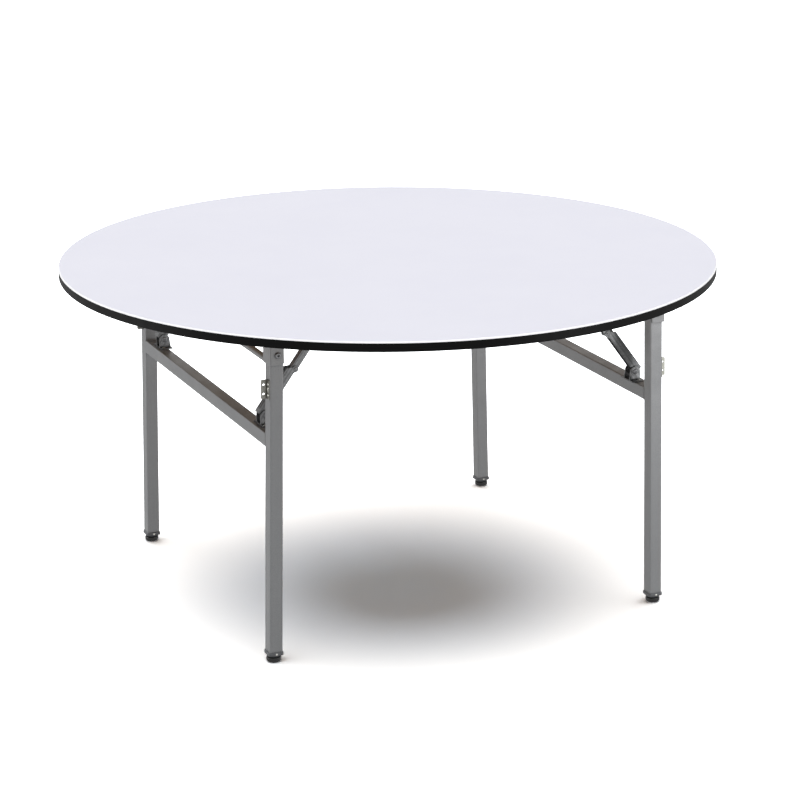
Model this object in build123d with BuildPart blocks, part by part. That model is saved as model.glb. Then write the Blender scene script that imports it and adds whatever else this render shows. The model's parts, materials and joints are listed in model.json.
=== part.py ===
from build123d import *

import os
from math import atan2, cos, degrees, hypot, radians, sin, tan

# Round folding table with two folding leg frames.
# Millimetres, Z up, origin on the floor below the centre of the board.
# The frames stand at the left and the right, and the front is towards minus Y.

os.makedirs("parts", exist_ok=True)

# Board
table_height = 764
top_diameter = 1500
laminate_thickness = 3.5
laminate_bevel = 2.5
core_thickness = 17.7
veneer_thickness = 0.8
band_thickness = 3
band_edge_radius = 1.2

# Fits
seat_gap = 0.1
running_gap = 0.05
stop_gap = 0.3
overrun = 5

# Leg frames
leg_width = 30
leg_wall = 1.5
leg_edge_radius = 2.5
leg_splay = radians(1.32)
hinge_span_share = 0.5884
hinge_drop = 54
frame_width_share = 0.5556
frame_width_step = 36.7
crossbar_drop = 192
rail_radius = 7.5
rail_wall = 1.5
rail_drop = 24.2

# Hinge bracket, pivot bolt and screws
sheet_thickness = 2.5
bracket_inner_reach = 13.8
bracket_lower_reach = 21
bracket_side_gap = 3.25
bracket_corner_radius = 5
bracket_bend_radius = 3
bracket_foot_length = 16
rail_passing_gap = 0.8
pivot_radius = 4
pivot_head_radius = 7
pivot_head_height = 3.6
pivot_socket_radius = 3
pivot_socket_depth = 2.4
pivot_nut_radius = 7.4
pivot_nut_height = 5
pivot_end_length = 2
spacer_radius = 9.5
screw_radius = 2
screw_head_radius = 4
screw_head_height = 2
screw_depth = 12
hinge_screw_half_pitch = 9

# Braces
brace_inset = 80.5
brace_pin_inset = 7.2
brace_pin_rise = 20.5
brace_pin_radius = 4
brace_pin_head_radius = 6
brace_pin_head_height = 1.8
top_pin_inset = 138.05
top_pin_drop = 29.66
lower_link_share = 0.521
link_sheet = 2
link_side_gap = 0.3

# Lower link, the outer channel
lower_half_width = 10.5
lower_back_rise = 19
lower_edge_drop = 2
lower_square_end = 3.5
lower_ear_radius = 8
knee_ear_radius = 7
knee_corner_setback = 9
knee_web_setback = 46
knee_corner_radius = 5
lower_bend_radius = 2.5
rib_height = 0.8
rib_width = 3
rib_spacing = 8
rib_end_setback = 9
knee_rivet_radius = 2.5
knee_rivet_head_radius = 4.2
knee_rivet_head_height = 1.6

# Upper link, the inner channel
upper_back_rise = 10
upper_edge_drop = 5.5
upper_ear_radius = 8
upper_web_start = 14
upper_web_setback = 2
upper_bend_radius = 1.6

# Crossbar bracket
crossbar_bracket_inner_reach = 23
crossbar_bracket_outer_reach = 5
crossbar_bracket_top_radius = 12.4
crossbar_bracket_foot_length = 14
crossbar_rivet_inset = 3
crossbar_rivet_radius = 2.4
crossbar_rivet_head_radius = 4
crossbar_rivet_head_height = 1.6

# Top bracket
top_bracket_half_length = 9
top_plate_half_length = 14
top_plate_foot_length = 15
top_screw_half_pitch = 8.5

# Angle plates
plate_thickness = 2
plate_height = 42
plate_flange = 15
plate_flat = 12.5
plate_corner_radius = 3
plate_hole_radius = 2.5
plate_hole_setback = 6
plate_hole_half_pitch = 10
plate_rivet_offset = 7.5
plate_rivet_half_pitch = 12
plate_rivet_radius = 2
plate_rivet_head_radius = 3.6
plate_rivet_head_height = 1.4
high_plate_drop = 76
low_plate_drop = 130

# Feet
glide_height = 11.5
glide_clearance = 0.5
glide_radius = 16.3
glide_lower_radius = 4.6
glide_upper_radius = 1.8
stud_radius = 4
stud_top = 52
stud_chamfer = 1
stud_root = 9
neck_height = 4.5
neck_lower_radius = 12.4
neck_upper_radius = 14.2
lip_height = 7.5
lip_overhang = 2.4
lip_corner_radius = 4
lip_edge_radius = 0.9
plug_length = 20

# Heads of bolts, screws and rivets have a short rim and a bevelled crown.
rim_share = 0.5
crown_taper = 40

# Places worked out from the sizes above
underside = table_height - laminate_thickness - core_thickness - veneer_thickness
top_radius = top_diameter / 2
hinge_half_span = top_radius * hinge_span_share
left_frame_half_width = top_radius * frame_width_share
right_frame_half_width = left_frame_half_width + frame_width_step
core_radius = top_radius - band_thickness - seat_gap
hinge_z = underside - hinge_drop
leg_half = leg_width / 2
leg_reach = hinge_z / cos(leg_splay)
foot_x = hinge_half_span + hinge_z * tan(leg_splay)

bracket_low_z = hinge_z - bracket_lower_reach
bracket_inner_x = hinge_half_span - bracket_inner_reach
leg_face_at_stop = hinge_half_span + leg_half / cos(leg_splay) + bracket_lower_reach * tan(leg_splay)
bracket_web_x = leg_face_at_stop + stop_gap
bracket_outer_x = bracket_web_x + sheet_thickness
bracket_channel_half = leg_half + bracket_side_gap
bracket_half_width = bracket_channel_half + sheet_thickness
bracket_middle_x = (bracket_inner_x + bracket_outer_x) / 2
bracket_screw_y = bracket_half_width + bracket_foot_length / 2
rail_relief_radius = rail_drop - rail_radius - rail_passing_gap

brace_pin_drop = crossbar_drop - leg_half - brace_pin_rise
brace_pin_x = hinge_half_span - brace_pin_inset * cos(leg_splay) + brace_pin_drop * sin(leg_splay)
brace_pin_z = hinge_z - brace_pin_inset * sin(leg_splay) - brace_pin_drop * cos(leg_splay)
top_pin_x = hinge_half_span - top_pin_inset
top_pin_z = underside - top_pin_drop
brace_length = hypot(brace_pin_x - top_pin_x, top_pin_z - brace_pin_z)
brace_angle = atan2(top_pin_z - brace_pin_z, brace_pin_x - top_pin_x)
lower_link_length = brace_length * lower_link_share
upper_link_length = brace_length - lower_link_length
upper_half_width = lower_half_width - link_sheet - link_side_gap
crossbar_bracket_channel_half = lower_half_width + link_side_gap
crossbar_bracket_half_width = crossbar_bracket_channel_half + sheet_thickness
top_bracket_half_width = upper_half_width - link_sheet - link_side_gap
top_bracket_channel_half = top_bracket_half_width - sheet_thickness
top_screw_y = top_bracket_half_width + top_plate_foot_length / 2

LEFT = -1
RIGHT = 1
BACK = 1
FRONT = -1
sides = [("left", LEFT), ("right", RIGHT)]
corners = [
    ("left_back", LEFT, BACK),
    ("left_front", LEFT, FRONT),
    ("right_back", RIGHT, BACK),
    ("right_front", RIGHT, FRONT),
]


def leg_y(side, end):
    """Y of the leg's centre line."""
    half_width = left_frame_half_width if side == LEFT else right_frame_half_width
    return end * half_width


def brace_y(side, end):
    """Y of the brace's middle plane."""
    return leg_y(side, end) - end * brace_inset


def outward(side):
    """Direction square to the legs, away from the middle of the table."""
    return (side * cos(leg_splay), 0, sin(leg_splay))


def up_leg(side):
    """Direction up the legs."""
    return (-side * sin(leg_splay), 0, cos(leg_splay))


def leg_point(side, y, out, rise):
    """Point given square to the leg and along it, from the hinge line."""
    x = hinge_half_span + out * cos(leg_splay) - rise * sin(leg_splay)
    z = hinge_z + out * sin(leg_splay) + rise * cos(leg_splay)
    return (side * x, y, z)


def upright_plane(side, y):
    """Profile plane of the fixed pieces: local X runs outward and local Y up."""
    return Plane(origin=(0, y, 0), x_dir=(side, 0, 0), z_dir=(0, -side, 0))


def leg_plane(side, y):
    """Profile plane that leans with the leg, its origin on the hinge line."""
    return Plane(origin=leg_point(side, y, 0, 0), x_dir=outward(side), z_dir=(0, -side, 0))


def leg_section(side, y, rise):
    """Plane square across the leg: local X runs outward."""
    return Plane(origin=leg_point(side, y, 0, rise), x_dir=outward(side), z_dir=up_leg(side))


def leg_face_plane(side, y, out, rise):
    """Plane that lies on the leg's outer side and looks outward."""
    return Plane(origin=leg_point(side, y, out, rise), x_dir=(0, 1, 0), z_dir=outward(side))


def lower_link_plane(side, y):
    """Profile plane of the lower link: X from its pin to the knee, Y to its back."""
    along = (-side * cos(brace_angle), 0, sin(brace_angle))
    return Plane(origin=(side * brace_pin_x, y, brace_pin_z), x_dir=along, z_dir=(0, side, 0))


def upper_link_plane(side, y):
    """Profile plane of the upper link: X from its pin to the knee, Y to its back."""
    along = (side * cos(brace_angle), 0, -sin(brace_angle))
    return Plane(origin=(side * top_pin_x, y, top_pin_z), x_dir=along, z_dir=(0, -side, 0))


def across_plane(side, x, y, z, end):
    """Plane square to the hinge lines that looks along Y, away from the middle."""
    return Plane(origin=(side * x, y, z), x_dir=(1, 0, 0), z_dir=(0, end, 0))


def span_box(low_x, high_x, low_y, high_y):
    """Rectangle between two corners of the sketch."""
    with Locations(((low_x + high_x) / 2, (low_y + high_y) / 2)):
        Rectangle(high_x - low_x, high_y - low_y)


def add_shank(plane, radius, length):
    """Add a round shank that runs from the plane against its normal."""
    with BuildSketch(plane) as section:
        Circle(radius)
    extrude(section.sketch, amount=-length)


def add_head(plane, radius, height):
    """Add a bevelled round head that stands on the plane."""
    with BuildSketch(plane) as rim:
        Circle(radius)
    extrude(rim.sketch, amount=height * rim_share)
    with BuildSketch(plane.offset(height * rim_share)) as crown:
        Circle(radius)
    extrude(crown.sketch, amount=height - height * rim_share, taper=crown_taper)


def hinge_screw_points():
    """Screws of the four hinge brackets, two in each foot."""
    points = []
    for corner, side, end in corners:
        for pitch in (-hinge_screw_half_pitch, hinge_screw_half_pitch):
            for offset in (-bracket_screw_y, bracket_screw_y):
                points.append((side * (bracket_middle_x + pitch), leg_y(side, end) + offset))
    return points


def top_screw_points():
    """Screws of the four top brackets, two in each foot."""
    points = []
    for corner, side, end in corners:
        for pitch in (-top_screw_half_pitch, top_screw_half_pitch):
            for offset in (-top_screw_y, top_screw_y):
                points.append((side * (top_pin_x + pitch), brace_y(side, end) + offset))
    return points


screw_points = hinge_screw_points() + top_screw_points()

# White laminate face, bevelled round its rim
with BuildPart() as laminate:
    with BuildSketch(Plane.XY.offset(table_height - laminate_thickness)):
        Circle(top_radius)
    extrude(amount=laminate_thickness)
    chamfer(laminate.faces().sort_by(Axis.Z)[-1].edges(), length=laminate_bevel)
laminate.part.label = "table_top_laminate"
export_step(laminate.part, "parts/table_top_laminate.step")

# Plywood core with blind pilot holes for the screws
with BuildPart() as core:
    with BuildSketch(Plane.XY.offset(underside + veneer_thickness)):
        Circle(core_radius)
    extrude(amount=core_thickness)
    with BuildSketch(Plane.XY.offset(underside)):
        with Locations(*screw_points):
            Circle(screw_radius + running_gap)
    extrude(amount=screw_depth + running_gap, mode=Mode.SUBTRACT)
core.part.label = "plywood_core"
export_step(core.part, "parts/plywood_core.step")

# Plywood bottom veneer
with BuildPart() as veneer:
    with BuildSketch(Plane.XY.offset(underside)):
        Circle(core_radius)
        with Locations(*screw_points):
            Circle(screw_radius + running_gap, mode=Mode.SUBTRACT)
    extrude(amount=veneer_thickness)
veneer.part.label = "bottom_veneer"
export_step(veneer.part, "parts/bottom_veneer.step")

# Black edge band under the laminate's rim
with BuildPart() as band:
    with BuildSketch(Plane.XY.offset(underside)):
        Circle(top_radius)
        Circle(core_radius + seat_gap, mode=Mode.SUBTRACT)
    extrude(amount=veneer_thickness + core_thickness)
    fillet(band.faces().sort_by(Axis.Z)[0].edges().sort_by(SortBy.LENGTH)[-1], radius=band_edge_radius)
band.part.label = "edge_band"
export_step(band.part, "parts/edge_band.step")

# Hinge brackets: a pressed channel whose web is the leg's stop, on two feet
for corner, side, end in corners:
    side_axis = Axis((0, 0, 0), (side, 0, 0))
    y = leg_y(side, end)
    with BuildPart() as bracket:
        with BuildSketch(upright_plane(side, y)) as outline:
            span_box(bracket_inner_x, bracket_outer_x, bracket_low_z, underside)
            low_corners = outline.vertices().group_by(Axis.Y)[0]
            fillet(low_corners.sort_by(Axis.X)[0], radius=bracket_corner_radius)
        extrude(amount=bracket_half_width, both=True)
        with BuildSketch(upright_plane(side, y)):
            span_box(bracket_inner_x - overrun, bracket_web_x, bracket_low_z - overrun, underside + overrun)
        extrude(amount=bracket_channel_half, both=True, mode=Mode.SUBTRACT)
        # The web's two outer bends
        fillet(bracket.edges().filter_by(Axis.Z).sort_by(side_axis)[-2:], radius=bracket_bend_radius)
        # The flange beside the upper rail is rounded so that the rail swings past it
        flange_middle = y - end * (bracket_channel_half + sheet_thickness / 2)
        with BuildSketch(upright_plane(side, flange_middle)):
            span_box(bracket_inner_x - overrun, bracket_web_x, bracket_low_z - overrun, hinge_z)
            with Locations((hinge_half_span, hinge_z)):
                Circle(rail_relief_radius, mode=Mode.SUBTRACT)
        extrude(amount=sheet_thickness, both=True, mode=Mode.SUBTRACT)
        # Feet under the board
        with BuildSketch(Plane.XY.offset(underside - sheet_thickness)):
            for turn in (-side, side):
                foot_start = y + turn * bracket_channel_half
                foot_stop = y + turn * (bracket_half_width + bracket_foot_length)
                near_x, far_x = sorted((side * bracket_inner_x, side * (bracket_outer_x - bracket_bend_radius)))
                low_y, high_y = sorted((foot_start, foot_stop))
                span_box(near_x, far_x, low_y, high_y)
        extrude(amount=sheet_thickness)
        with BuildSketch(Plane.XY.offset(underside)):
            with Locations((side * bracket_middle_x, y)):
                with GridLocations(2 * hinge_screw_half_pitch, 2 * bracket_screw_y, 2, 2):
                    Circle(screw_radius + running_gap)
        extrude(amount=-sheet_thickness, mode=Mode.SUBTRACT)
        # Bore of the pivot bolt
        with BuildSketch(upright_plane(side, y)):
            with Locations((hinge_half_span, hinge_z)):
                Circle(pivot_radius + running_gap)
        extrude(amount=bracket_half_width, both=True, mode=Mode.SUBTRACT)
    bracket.part.label = f"hinge_bracket_{corner}"
    export_step(bracket.part, f"parts/hinge_bracket_{corner}.step")

# Screws through the feet of the hinge brackets
with BuildPart() as hinge_screws:
    for x, y in hinge_screw_points():
        head_plane = Plane(origin=(x, y, underside - sheet_thickness), z_dir=(0, 0, -1))
        add_head(head_plane, screw_head_radius, screw_head_height)
        add_shank(head_plane, screw_radius, sheet_thickness + screw_depth)
hinge_screws.part.label = "hinge_screws"
export_step(hinge_screws.part, "parts/hinge_screws.step")

# Pivot bolts, their socket heads on the outer side of each leg
with BuildPart() as pivot_bolts:
    for corner, side, end in corners:
        head_y = leg_y(side, end) + end * bracket_half_width
        head_plane = across_plane(side, hinge_half_span, head_y, hinge_z, end)
        add_head(head_plane, pivot_head_radius, pivot_head_height)
        with BuildSketch(head_plane.offset(pivot_head_height)):
            RegularPolygon(pivot_socket_radius, 6)
        extrude(amount=-pivot_socket_depth, mode=Mode.SUBTRACT)
        add_shank(head_plane, pivot_radius, 2 * bracket_half_width + pivot_nut_height + pivot_end_length)
pivot_bolts.part.label = "pivot_bolts"
export_step(pivot_bolts.part, "parts/pivot_bolts.step")

# Pivot nuts on the inner side of each leg
with BuildPart() as pivot_nuts:
    for corner, side, end in corners:
        nut_y = leg_y(side, end) - end * bracket_half_width
        with BuildSketch(across_plane(side, hinge_half_span, nut_y, hinge_z, -end)):
            RegularPolygon(pivot_nut_radius, 6)
            Circle(pivot_radius + running_gap, mode=Mode.SUBTRACT)
        extrude(amount=pivot_nut_height)
pivot_nuts.part.label = "pivot_nuts"
export_step(pivot_nuts.part, "parts/pivot_nuts.step")

# Spacer washers between each leg and its bracket
with BuildPart() as hinge_spacers:
    for corner, side, end in corners:
        for turn in (-end, end):
            spacer_y = leg_y(side, end) + turn * (leg_half + seat_gap)
            with BuildSketch(across_plane(side, hinge_half_span, spacer_y, hinge_z, turn)):
                Circle(spacer_radius)
                Circle(pivot_radius + running_gap, mode=Mode.SUBTRACT)
            extrude(amount=bracket_side_gap - 2 * seat_gap)
hinge_spacers.part.label = "hinge_spacers"
export_step(hinge_spacers.part, "parts/hinge_spacers.step")

# Legs: splayed square tube with a rounded upper end
collar_bottom = glide_height + glide_clearance - leg_reach
lip_bottom = collar_bottom + neck_height
tube_end = lip_bottom + lip_height
for corner, side, end in corners:
    y = leg_y(side, end)
    plate_drop = high_plate_drop if side == end else low_plate_drop
    with BuildPart() as leg:
        with BuildSketch(leg_plane(side, y)):
            span_box(-leg_half, leg_half, tube_end, 0)
            Circle(leg_half)
        extrude(amount=leg_half, both=True)
        for face in (leg.faces().sort_by(Axis.Y)[0], leg.faces().sort_by(Axis.Y)[-1]):
            rim_edges = face.edges().sort_by(Axis.Z)[1:]
            fillet(rim_edges, radius=leg_edge_radius)
        # Inside of the tube, open at the foot
        with BuildSketch(leg_plane(side, y)):
            span_box(-leg_half + leg_wall, leg_half - leg_wall, tube_end - overrun, 0)
            Circle(leg_half - leg_wall)
        extrude(amount=leg_half - leg_wall, both=True, mode=Mode.SUBTRACT)
        # Bore of the pivot bolt
        with BuildSketch(leg_plane(side, y)):
            Circle(pivot_radius + running_gap)
        extrude(amount=leg_width, both=True, mode=Mode.SUBTRACT)
        # Holes of the angle plate's rivets
        for pitch in (-plate_rivet_half_pitch, plate_rivet_half_pitch):
            rivet_y = y + end * plate_rivet_offset
            with BuildSketch(leg_face_plane(side, rivet_y, leg_half, pitch - plate_drop)):
                Circle(plate_rivet_radius + running_gap)
            extrude(amount=-2 * leg_wall, mode=Mode.SUBTRACT)
    leg.part.label = f"leg_{corner}"
    export_step(leg.part, f"parts/leg_{corner}.step")

# Crossbars: square tube between the legs, holed for the bracket rivets
for name, side in sides:
    half_length = leg_y(side, BACK) - leg_half
    with BuildPart() as crossbar:
        with BuildSketch(leg_plane(side, 0)):
            with Locations((0, -crossbar_drop)):
                RectangleRounded(leg_width, leg_width, leg_edge_radius)
                Rectangle(leg_width - 2 * leg_wall, leg_width - 2 * leg_wall, mode=Mode.SUBTRACT)
        extrude(amount=half_length, both=True)
        for end in (FRONT, BACK):
            for turn in (-1, 1):
                rivet_y = brace_y(side, end) + turn * (
                    crossbar_bracket_half_width + crossbar_bracket_foot_length / 2
                )
                rivet_point = leg_point(side, rivet_y, -crossbar_rivet_inset, leg_half - crossbar_drop)
                with BuildSketch(Plane(origin=rivet_point, x_dir=(0, 1, 0), z_dir=up_leg(side))):
                    Circle(crossbar_rivet_radius + running_gap)
                extrude(amount=-2 * leg_wall, mode=Mode.SUBTRACT)
    crossbar.part.label = f"crossbar_{name}"
    export_step(crossbar.part, f"parts/crossbar_{name}.step")

# Upper rails: round tube between the legs, just below the hinges
for name, side in sides:
    with BuildPart() as rail:
        with BuildSketch(leg_plane(side, 0)):
            with Locations((0, -rail_drop)):
                Circle(rail_radius)
                Circle(rail_radius - rail_wall, mode=Mode.SUBTRACT)
        extrude(amount=leg_y(side, BACK) - leg_half, both=True)
    rail.part.label = f"upper_rail_{name}"
    export_step(rail.part, f"parts/upper_rail_{name}.step")

# Crossbar brackets: a channel on two feet that holds the lower link's pin
bracket_base = leg_half - crossbar_drop
for corner, side, end in corners:
    y = brace_y(side, end)
    with BuildPart() as bracket:
        with BuildSketch(leg_plane(side, y)):
            with BuildLine():
                Polyline(
                    (-crossbar_bracket_inner_reach, bracket_base),
                    (crossbar_bracket_outer_reach, bracket_base),
                    (crossbar_bracket_top_radius - brace_pin_inset, -brace_pin_drop),
                    (-crossbar_bracket_top_radius - brace_pin_inset, -brace_pin_drop),
                    close=True,
                )
            make_face()
            with Locations((-brace_pin_inset, -brace_pin_drop)):
                Circle(crossbar_bracket_top_radius)
        extrude(amount=crossbar_bracket_half_width, both=True)
        with BuildSketch(leg_plane(side, y)):
            span_box(
                -crossbar_bracket_inner_reach - overrun,
                crossbar_bracket_outer_reach + overrun,
                bracket_base + sheet_thickness,
                crossbar_bracket_top_radius + overrun - brace_pin_drop,
            )
        extrude(amount=crossbar_bracket_channel_half, both=True, mode=Mode.SUBTRACT)
        # Feet on the crossbar, each with a rivet hole
        foot_half_width = crossbar_bracket_half_width + crossbar_bracket_foot_length
        with BuildSketch(leg_section(side, y, bracket_base)):
            span_box(
                -crossbar_bracket_inner_reach,
                crossbar_bracket_outer_reach,
                -foot_half_width,
                foot_half_width,
            )
            with Locations((-crossbar_rivet_inset, 0)):
                rivet_pitch = 2 * crossbar_bracket_half_width + crossbar_bracket_foot_length
                with GridLocations(0, rivet_pitch, 1, 2):
                    Circle(crossbar_rivet_radius + running_gap, mode=Mode.SUBTRACT)
        extrude(amount=sheet_thickness)
        # Bore of the brace pin
        with BuildSketch(leg_plane(side, y)):
            with Locations((-brace_pin_inset, -brace_pin_drop)):
                Circle(brace_pin_radius + running_gap)
        extrude(amount=crossbar_bracket_half_width, both=True, mode=Mode.SUBTRACT)
    bracket.part.label = f"crossbar_bracket_{corner}"
    export_step(bracket.part, f"parts/crossbar_bracket_{corner}.step")

# Rivets of the crossbar brackets
for name, side in sides:
    with BuildPart() as rivets:
        for end in (FRONT, BACK):
            for turn in (-1, 1):
                rivet_y = brace_y(side, end) + turn * (
                    crossbar_bracket_half_width + crossbar_bracket_foot_length / 2
                )
                seat = leg_point(side, rivet_y, -crossbar_rivet_inset, bracket_base + sheet_thickness)
                seat_plane = Plane(origin=seat, x_dir=(0, 1, 0), z_dir=up_leg(side))
                add_head(seat_plane, crossbar_rivet_head_radius, crossbar_rivet_head_height)
                add_shank(seat_plane, crossbar_rivet_radius, sheet_thickness + leg_wall)
    rivets.part.label = f"crossbar_rivets_{name}"
    export_step(rivets.part, f"parts/crossbar_rivets_{name}.step")

# Brace pins in the crossbar brackets, headed at both ends
for name, side in sides:
    with BuildPart() as brace_pins:
        for end in (FRONT, BACK):
            for turn in (-1, 1):
                head_y = brace_y(side, end) + turn * crossbar_bracket_half_width
                head_plane = across_plane(side, brace_pin_x, head_y, brace_pin_z, turn)
                add_head(head_plane, brace_pin_head_radius, brace_pin_head_height)
                add_shank(head_plane, brace_pin_radius, crossbar_bracket_half_width)
    brace_pins.part.label = f"brace_pins_{name}"
    export_step(brace_pins.part, f"parts/brace_pins_{name}.step")

# Lower links: the outer channel of each brace, open below and ribbed on its back
for corner, side, end in corners:
    y = brace_y(side, end)
    link_plane = lower_link_plane(side, y)
    back_axis = Axis(link_plane.origin, link_plane.y_dir)
    along_axis = Axis(link_plane.origin, link_plane.x_dir)
    web_end = lower_link_length - knee_web_setback
    with BuildPart() as link:
        with BuildSketch(link_plane) as outline:
            span_box(
                -lower_square_end,
                lower_link_length - knee_corner_setback,
                -lower_edge_drop,
                lower_back_rise,
            )
            with BuildLine():
                Polyline(
                    (lower_link_length - knee_corner_setback, lower_back_rise),
                    (lower_link_length + knee_ear_radius, 0),
                    (lower_link_length, -knee_ear_radius),
                    (lower_link_length - knee_corner_setback, -lower_edge_drop),
                    close=True,
                )
            make_face()
            with Locations((lower_link_length, 0)):
                Circle(knee_ear_radius)
            Circle(lower_ear_radius)
        extrude(amount=lower_half_width, both=True)
        # Outer bends of the channel
        back_edges = link.faces().sort_by(back_axis)[-1].edges().filter_by(along_axis)
        fillet(back_edges, radius=lower_bend_radius)
        # Inside of the channel
        with BuildSketch(link_plane):
            span_box(
                -lower_ear_radius - overrun,
                lower_link_length + knee_ear_radius + overrun,
                -lower_ear_radius - overrun,
                lower_back_rise - link_sheet,
            )
        extrude(amount=lower_half_width - link_sheet, both=True, mode=Mode.SUBTRACT)
        # The back stops short of the knee, where the upper link swings through
        with BuildSketch(link_plane):
            span_box(
                web_end,
                lower_link_length + knee_ear_radius + overrun,
                0,
                lower_back_rise + overrun,
            )
        extrude(amount=lower_half_width - link_sheet, both=True, mode=Mode.SUBTRACT)
        # Two ribs pressed along the back
        rib_length = web_end + lower_square_end - 2 * rib_end_setback
        rib_centre = (web_end - lower_square_end) / 2
        rib_origin = link_plane.from_local_coords((rib_centre, lower_back_rise, 0))
        rib_plane = Plane(origin=rib_origin, x_dir=link_plane.x_dir, z_dir=link_plane.y_dir)
        with BuildSketch(rib_plane):
            with GridLocations(0, rib_spacing, 1, 2):
                SlotOverall(rib_length, rib_width)
        extrude(amount=rib_height)
        # Pin bore, and the knee rivets' holes
        with BuildSketch(link_plane):
            Circle(brace_pin_radius + running_gap)
            with Locations((lower_link_length, 0)):
                Circle(knee_rivet_radius + running_gap)
        extrude(amount=lower_half_width, both=True, mode=Mode.SUBTRACT)
    link.part.label = f"lower_link_{corner}"
    export_step(link.part, f"parts/lower_link_{corner}.step")

# Knee rivets, one in each wall of the lower links
knee_x = brace_pin_x - lower_link_length * cos(brace_angle)
knee_z = brace_pin_z + lower_link_length * sin(brace_angle)
for name, side in sides:
    with BuildPart() as knee_rivets:
        for end in (FRONT, BACK):
            for turn in (-1, 1):
                head_y = brace_y(side, end) + turn * lower_half_width
                head_plane = across_plane(side, knee_x, head_y, knee_z, turn)
                add_head(head_plane, knee_rivet_head_radius, knee_rivet_head_height)
                add_shank(head_plane, knee_rivet_radius, link_sheet)
    knee_rivets.part.label = f"knee_rivets_{name}"
    export_step(knee_rivets.part, f"parts/knee_rivets_{name}.step")

# Upper links: the inner channel of each brace
for corner, side, end in corners:
    link_plane = upper_link_plane(side, brace_y(side, end))
    back_axis = Axis(link_plane.origin, link_plane.y_dir)
    along_axis = Axis(link_plane.origin, link_plane.x_dir)
    with BuildPart() as link:
        with BuildSketch(link_plane):
            span_box(0, upper_link_length, -upper_edge_drop, upper_back_rise)
            Circle(upper_ear_radius)
            with Locations((upper_link_length, 0)):
                Circle(knee_ear_radius)
        extrude(amount=upper_half_width, both=True)
        # Outer bends of the channel
        back_edges = link.faces().sort_by(back_axis)[-1].edges().filter_by(along_axis)
        fillet(back_edges, radius=upper_bend_radius)
        # Inside of the channel
        with BuildSketch(link_plane):
            span_box(
                -upper_ear_radius - overrun,
                upper_link_length + knee_ear_radius + overrun,
                -upper_ear_radius - overrun,
                upper_back_rise - link_sheet,
            )
        extrude(amount=upper_half_width - link_sheet, both=True, mode=Mode.SUBTRACT)
        # The back stops short of both ends
        with BuildSketch(link_plane):
            span_box(-upper_ear_radius - overrun, upper_web_start, 0, upper_back_rise + overrun)
            span_box(
                upper_link_length - upper_web_setback,
                upper_link_length + knee_ear_radius + overrun,
                0,
                upper_back_rise + overrun,
            )
        extrude(amount=upper_half_width - link_sheet, both=True, mode=Mode.SUBTRACT)
        # Pin bore and knee hole
        with BuildSketch(link_plane):
            Circle(brace_pin_radius + running_gap)
            with Locations((upper_link_length, 0)):
                Circle(knee_rivet_radius + running_gap)
        extrude(amount=upper_half_width, both=True, mode=Mode.SUBTRACT)
    link.part.label = f"upper_link_{corner}"
    export_step(link.part, f"parts/upper_link_{corner}.step")

# Top brackets: a narrow channel on a plate that holds the upper link's pin
for corner, side, end in corners:
    y = brace_y(side, end)
    with BuildPart() as bracket:
        with BuildSketch(upright_plane(side, y)):
            span_box(
                top_pin_x - top_bracket_half_length,
                top_pin_x + top_bracket_half_length,
                top_pin_z,
                underside,
            )
            with Locations((top_pin_x, top_pin_z)):
                Circle(top_bracket_half_length)
        extrude(amount=top_bracket_half_width, both=True)
        with BuildSketch(upright_plane(side, y)):
            span_box(
                top_pin_x - top_bracket_half_length - overrun,
                top_pin_x + top_bracket_half_length + overrun,
                top_pin_z - top_bracket_half_length - overrun,
                underside - sheet_thickness,
            )
        extrude(amount=top_bracket_channel_half, both=True, mode=Mode.SUBTRACT)
        with BuildSketch(Plane.XY.offset(underside)):
            with Locations((side * top_pin_x, y)):
                plate_half_width = top_bracket_half_width + top_plate_foot_length
                Rectangle(2 * top_plate_half_length, 2 * plate_half_width)
                with GridLocations(2 * top_screw_half_pitch, 2 * top_screw_y, 2, 2):
                    Circle(screw_radius + running_gap, mode=Mode.SUBTRACT)
        extrude(amount=-sheet_thickness)
        with BuildSketch(upright_plane(side, y)):
            with Locations((top_pin_x, top_pin_z)):
                Circle(brace_pin_radius + running_gap)
        extrude(amount=top_bracket_half_width, both=True, mode=Mode.SUBTRACT)
    bracket.part.label = f"top_bracket_{corner}"
    export_step(bracket.part, f"parts/top_bracket_{corner}.step")

# Screws through the plates of the top brackets
with BuildPart() as top_screws:
    for x, y in top_screw_points():
        head_plane = Plane(origin=(x, y, underside - sheet_thickness), z_dir=(0, 0, -1))
        add_head(head_plane, screw_head_radius, screw_head_height)
        add_shank(head_plane, screw_radius, sheet_thickness + screw_depth)
top_screws.part.label = "top_bracket_screws"
export_step(top_screws.part, "parts/top_bracket_screws.step")

# Top pins, headed outside the upper links
with BuildPart() as top_pins:
    for corner, side, end in corners:
        for turn in (-1, 1):
            head_y = brace_y(side, end) + turn * (upper_half_width + seat_gap)
            head_plane = across_plane(side, top_pin_x, head_y, top_pin_z, turn)
            add_head(head_plane, brace_pin_head_radius, brace_pin_head_height)
            add_shank(head_plane, brace_pin_radius, upper_half_width + seat_gap)
top_pins.part.label = "top_pins"
export_step(top_pins.part, "parts/top_pins.step")

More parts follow.
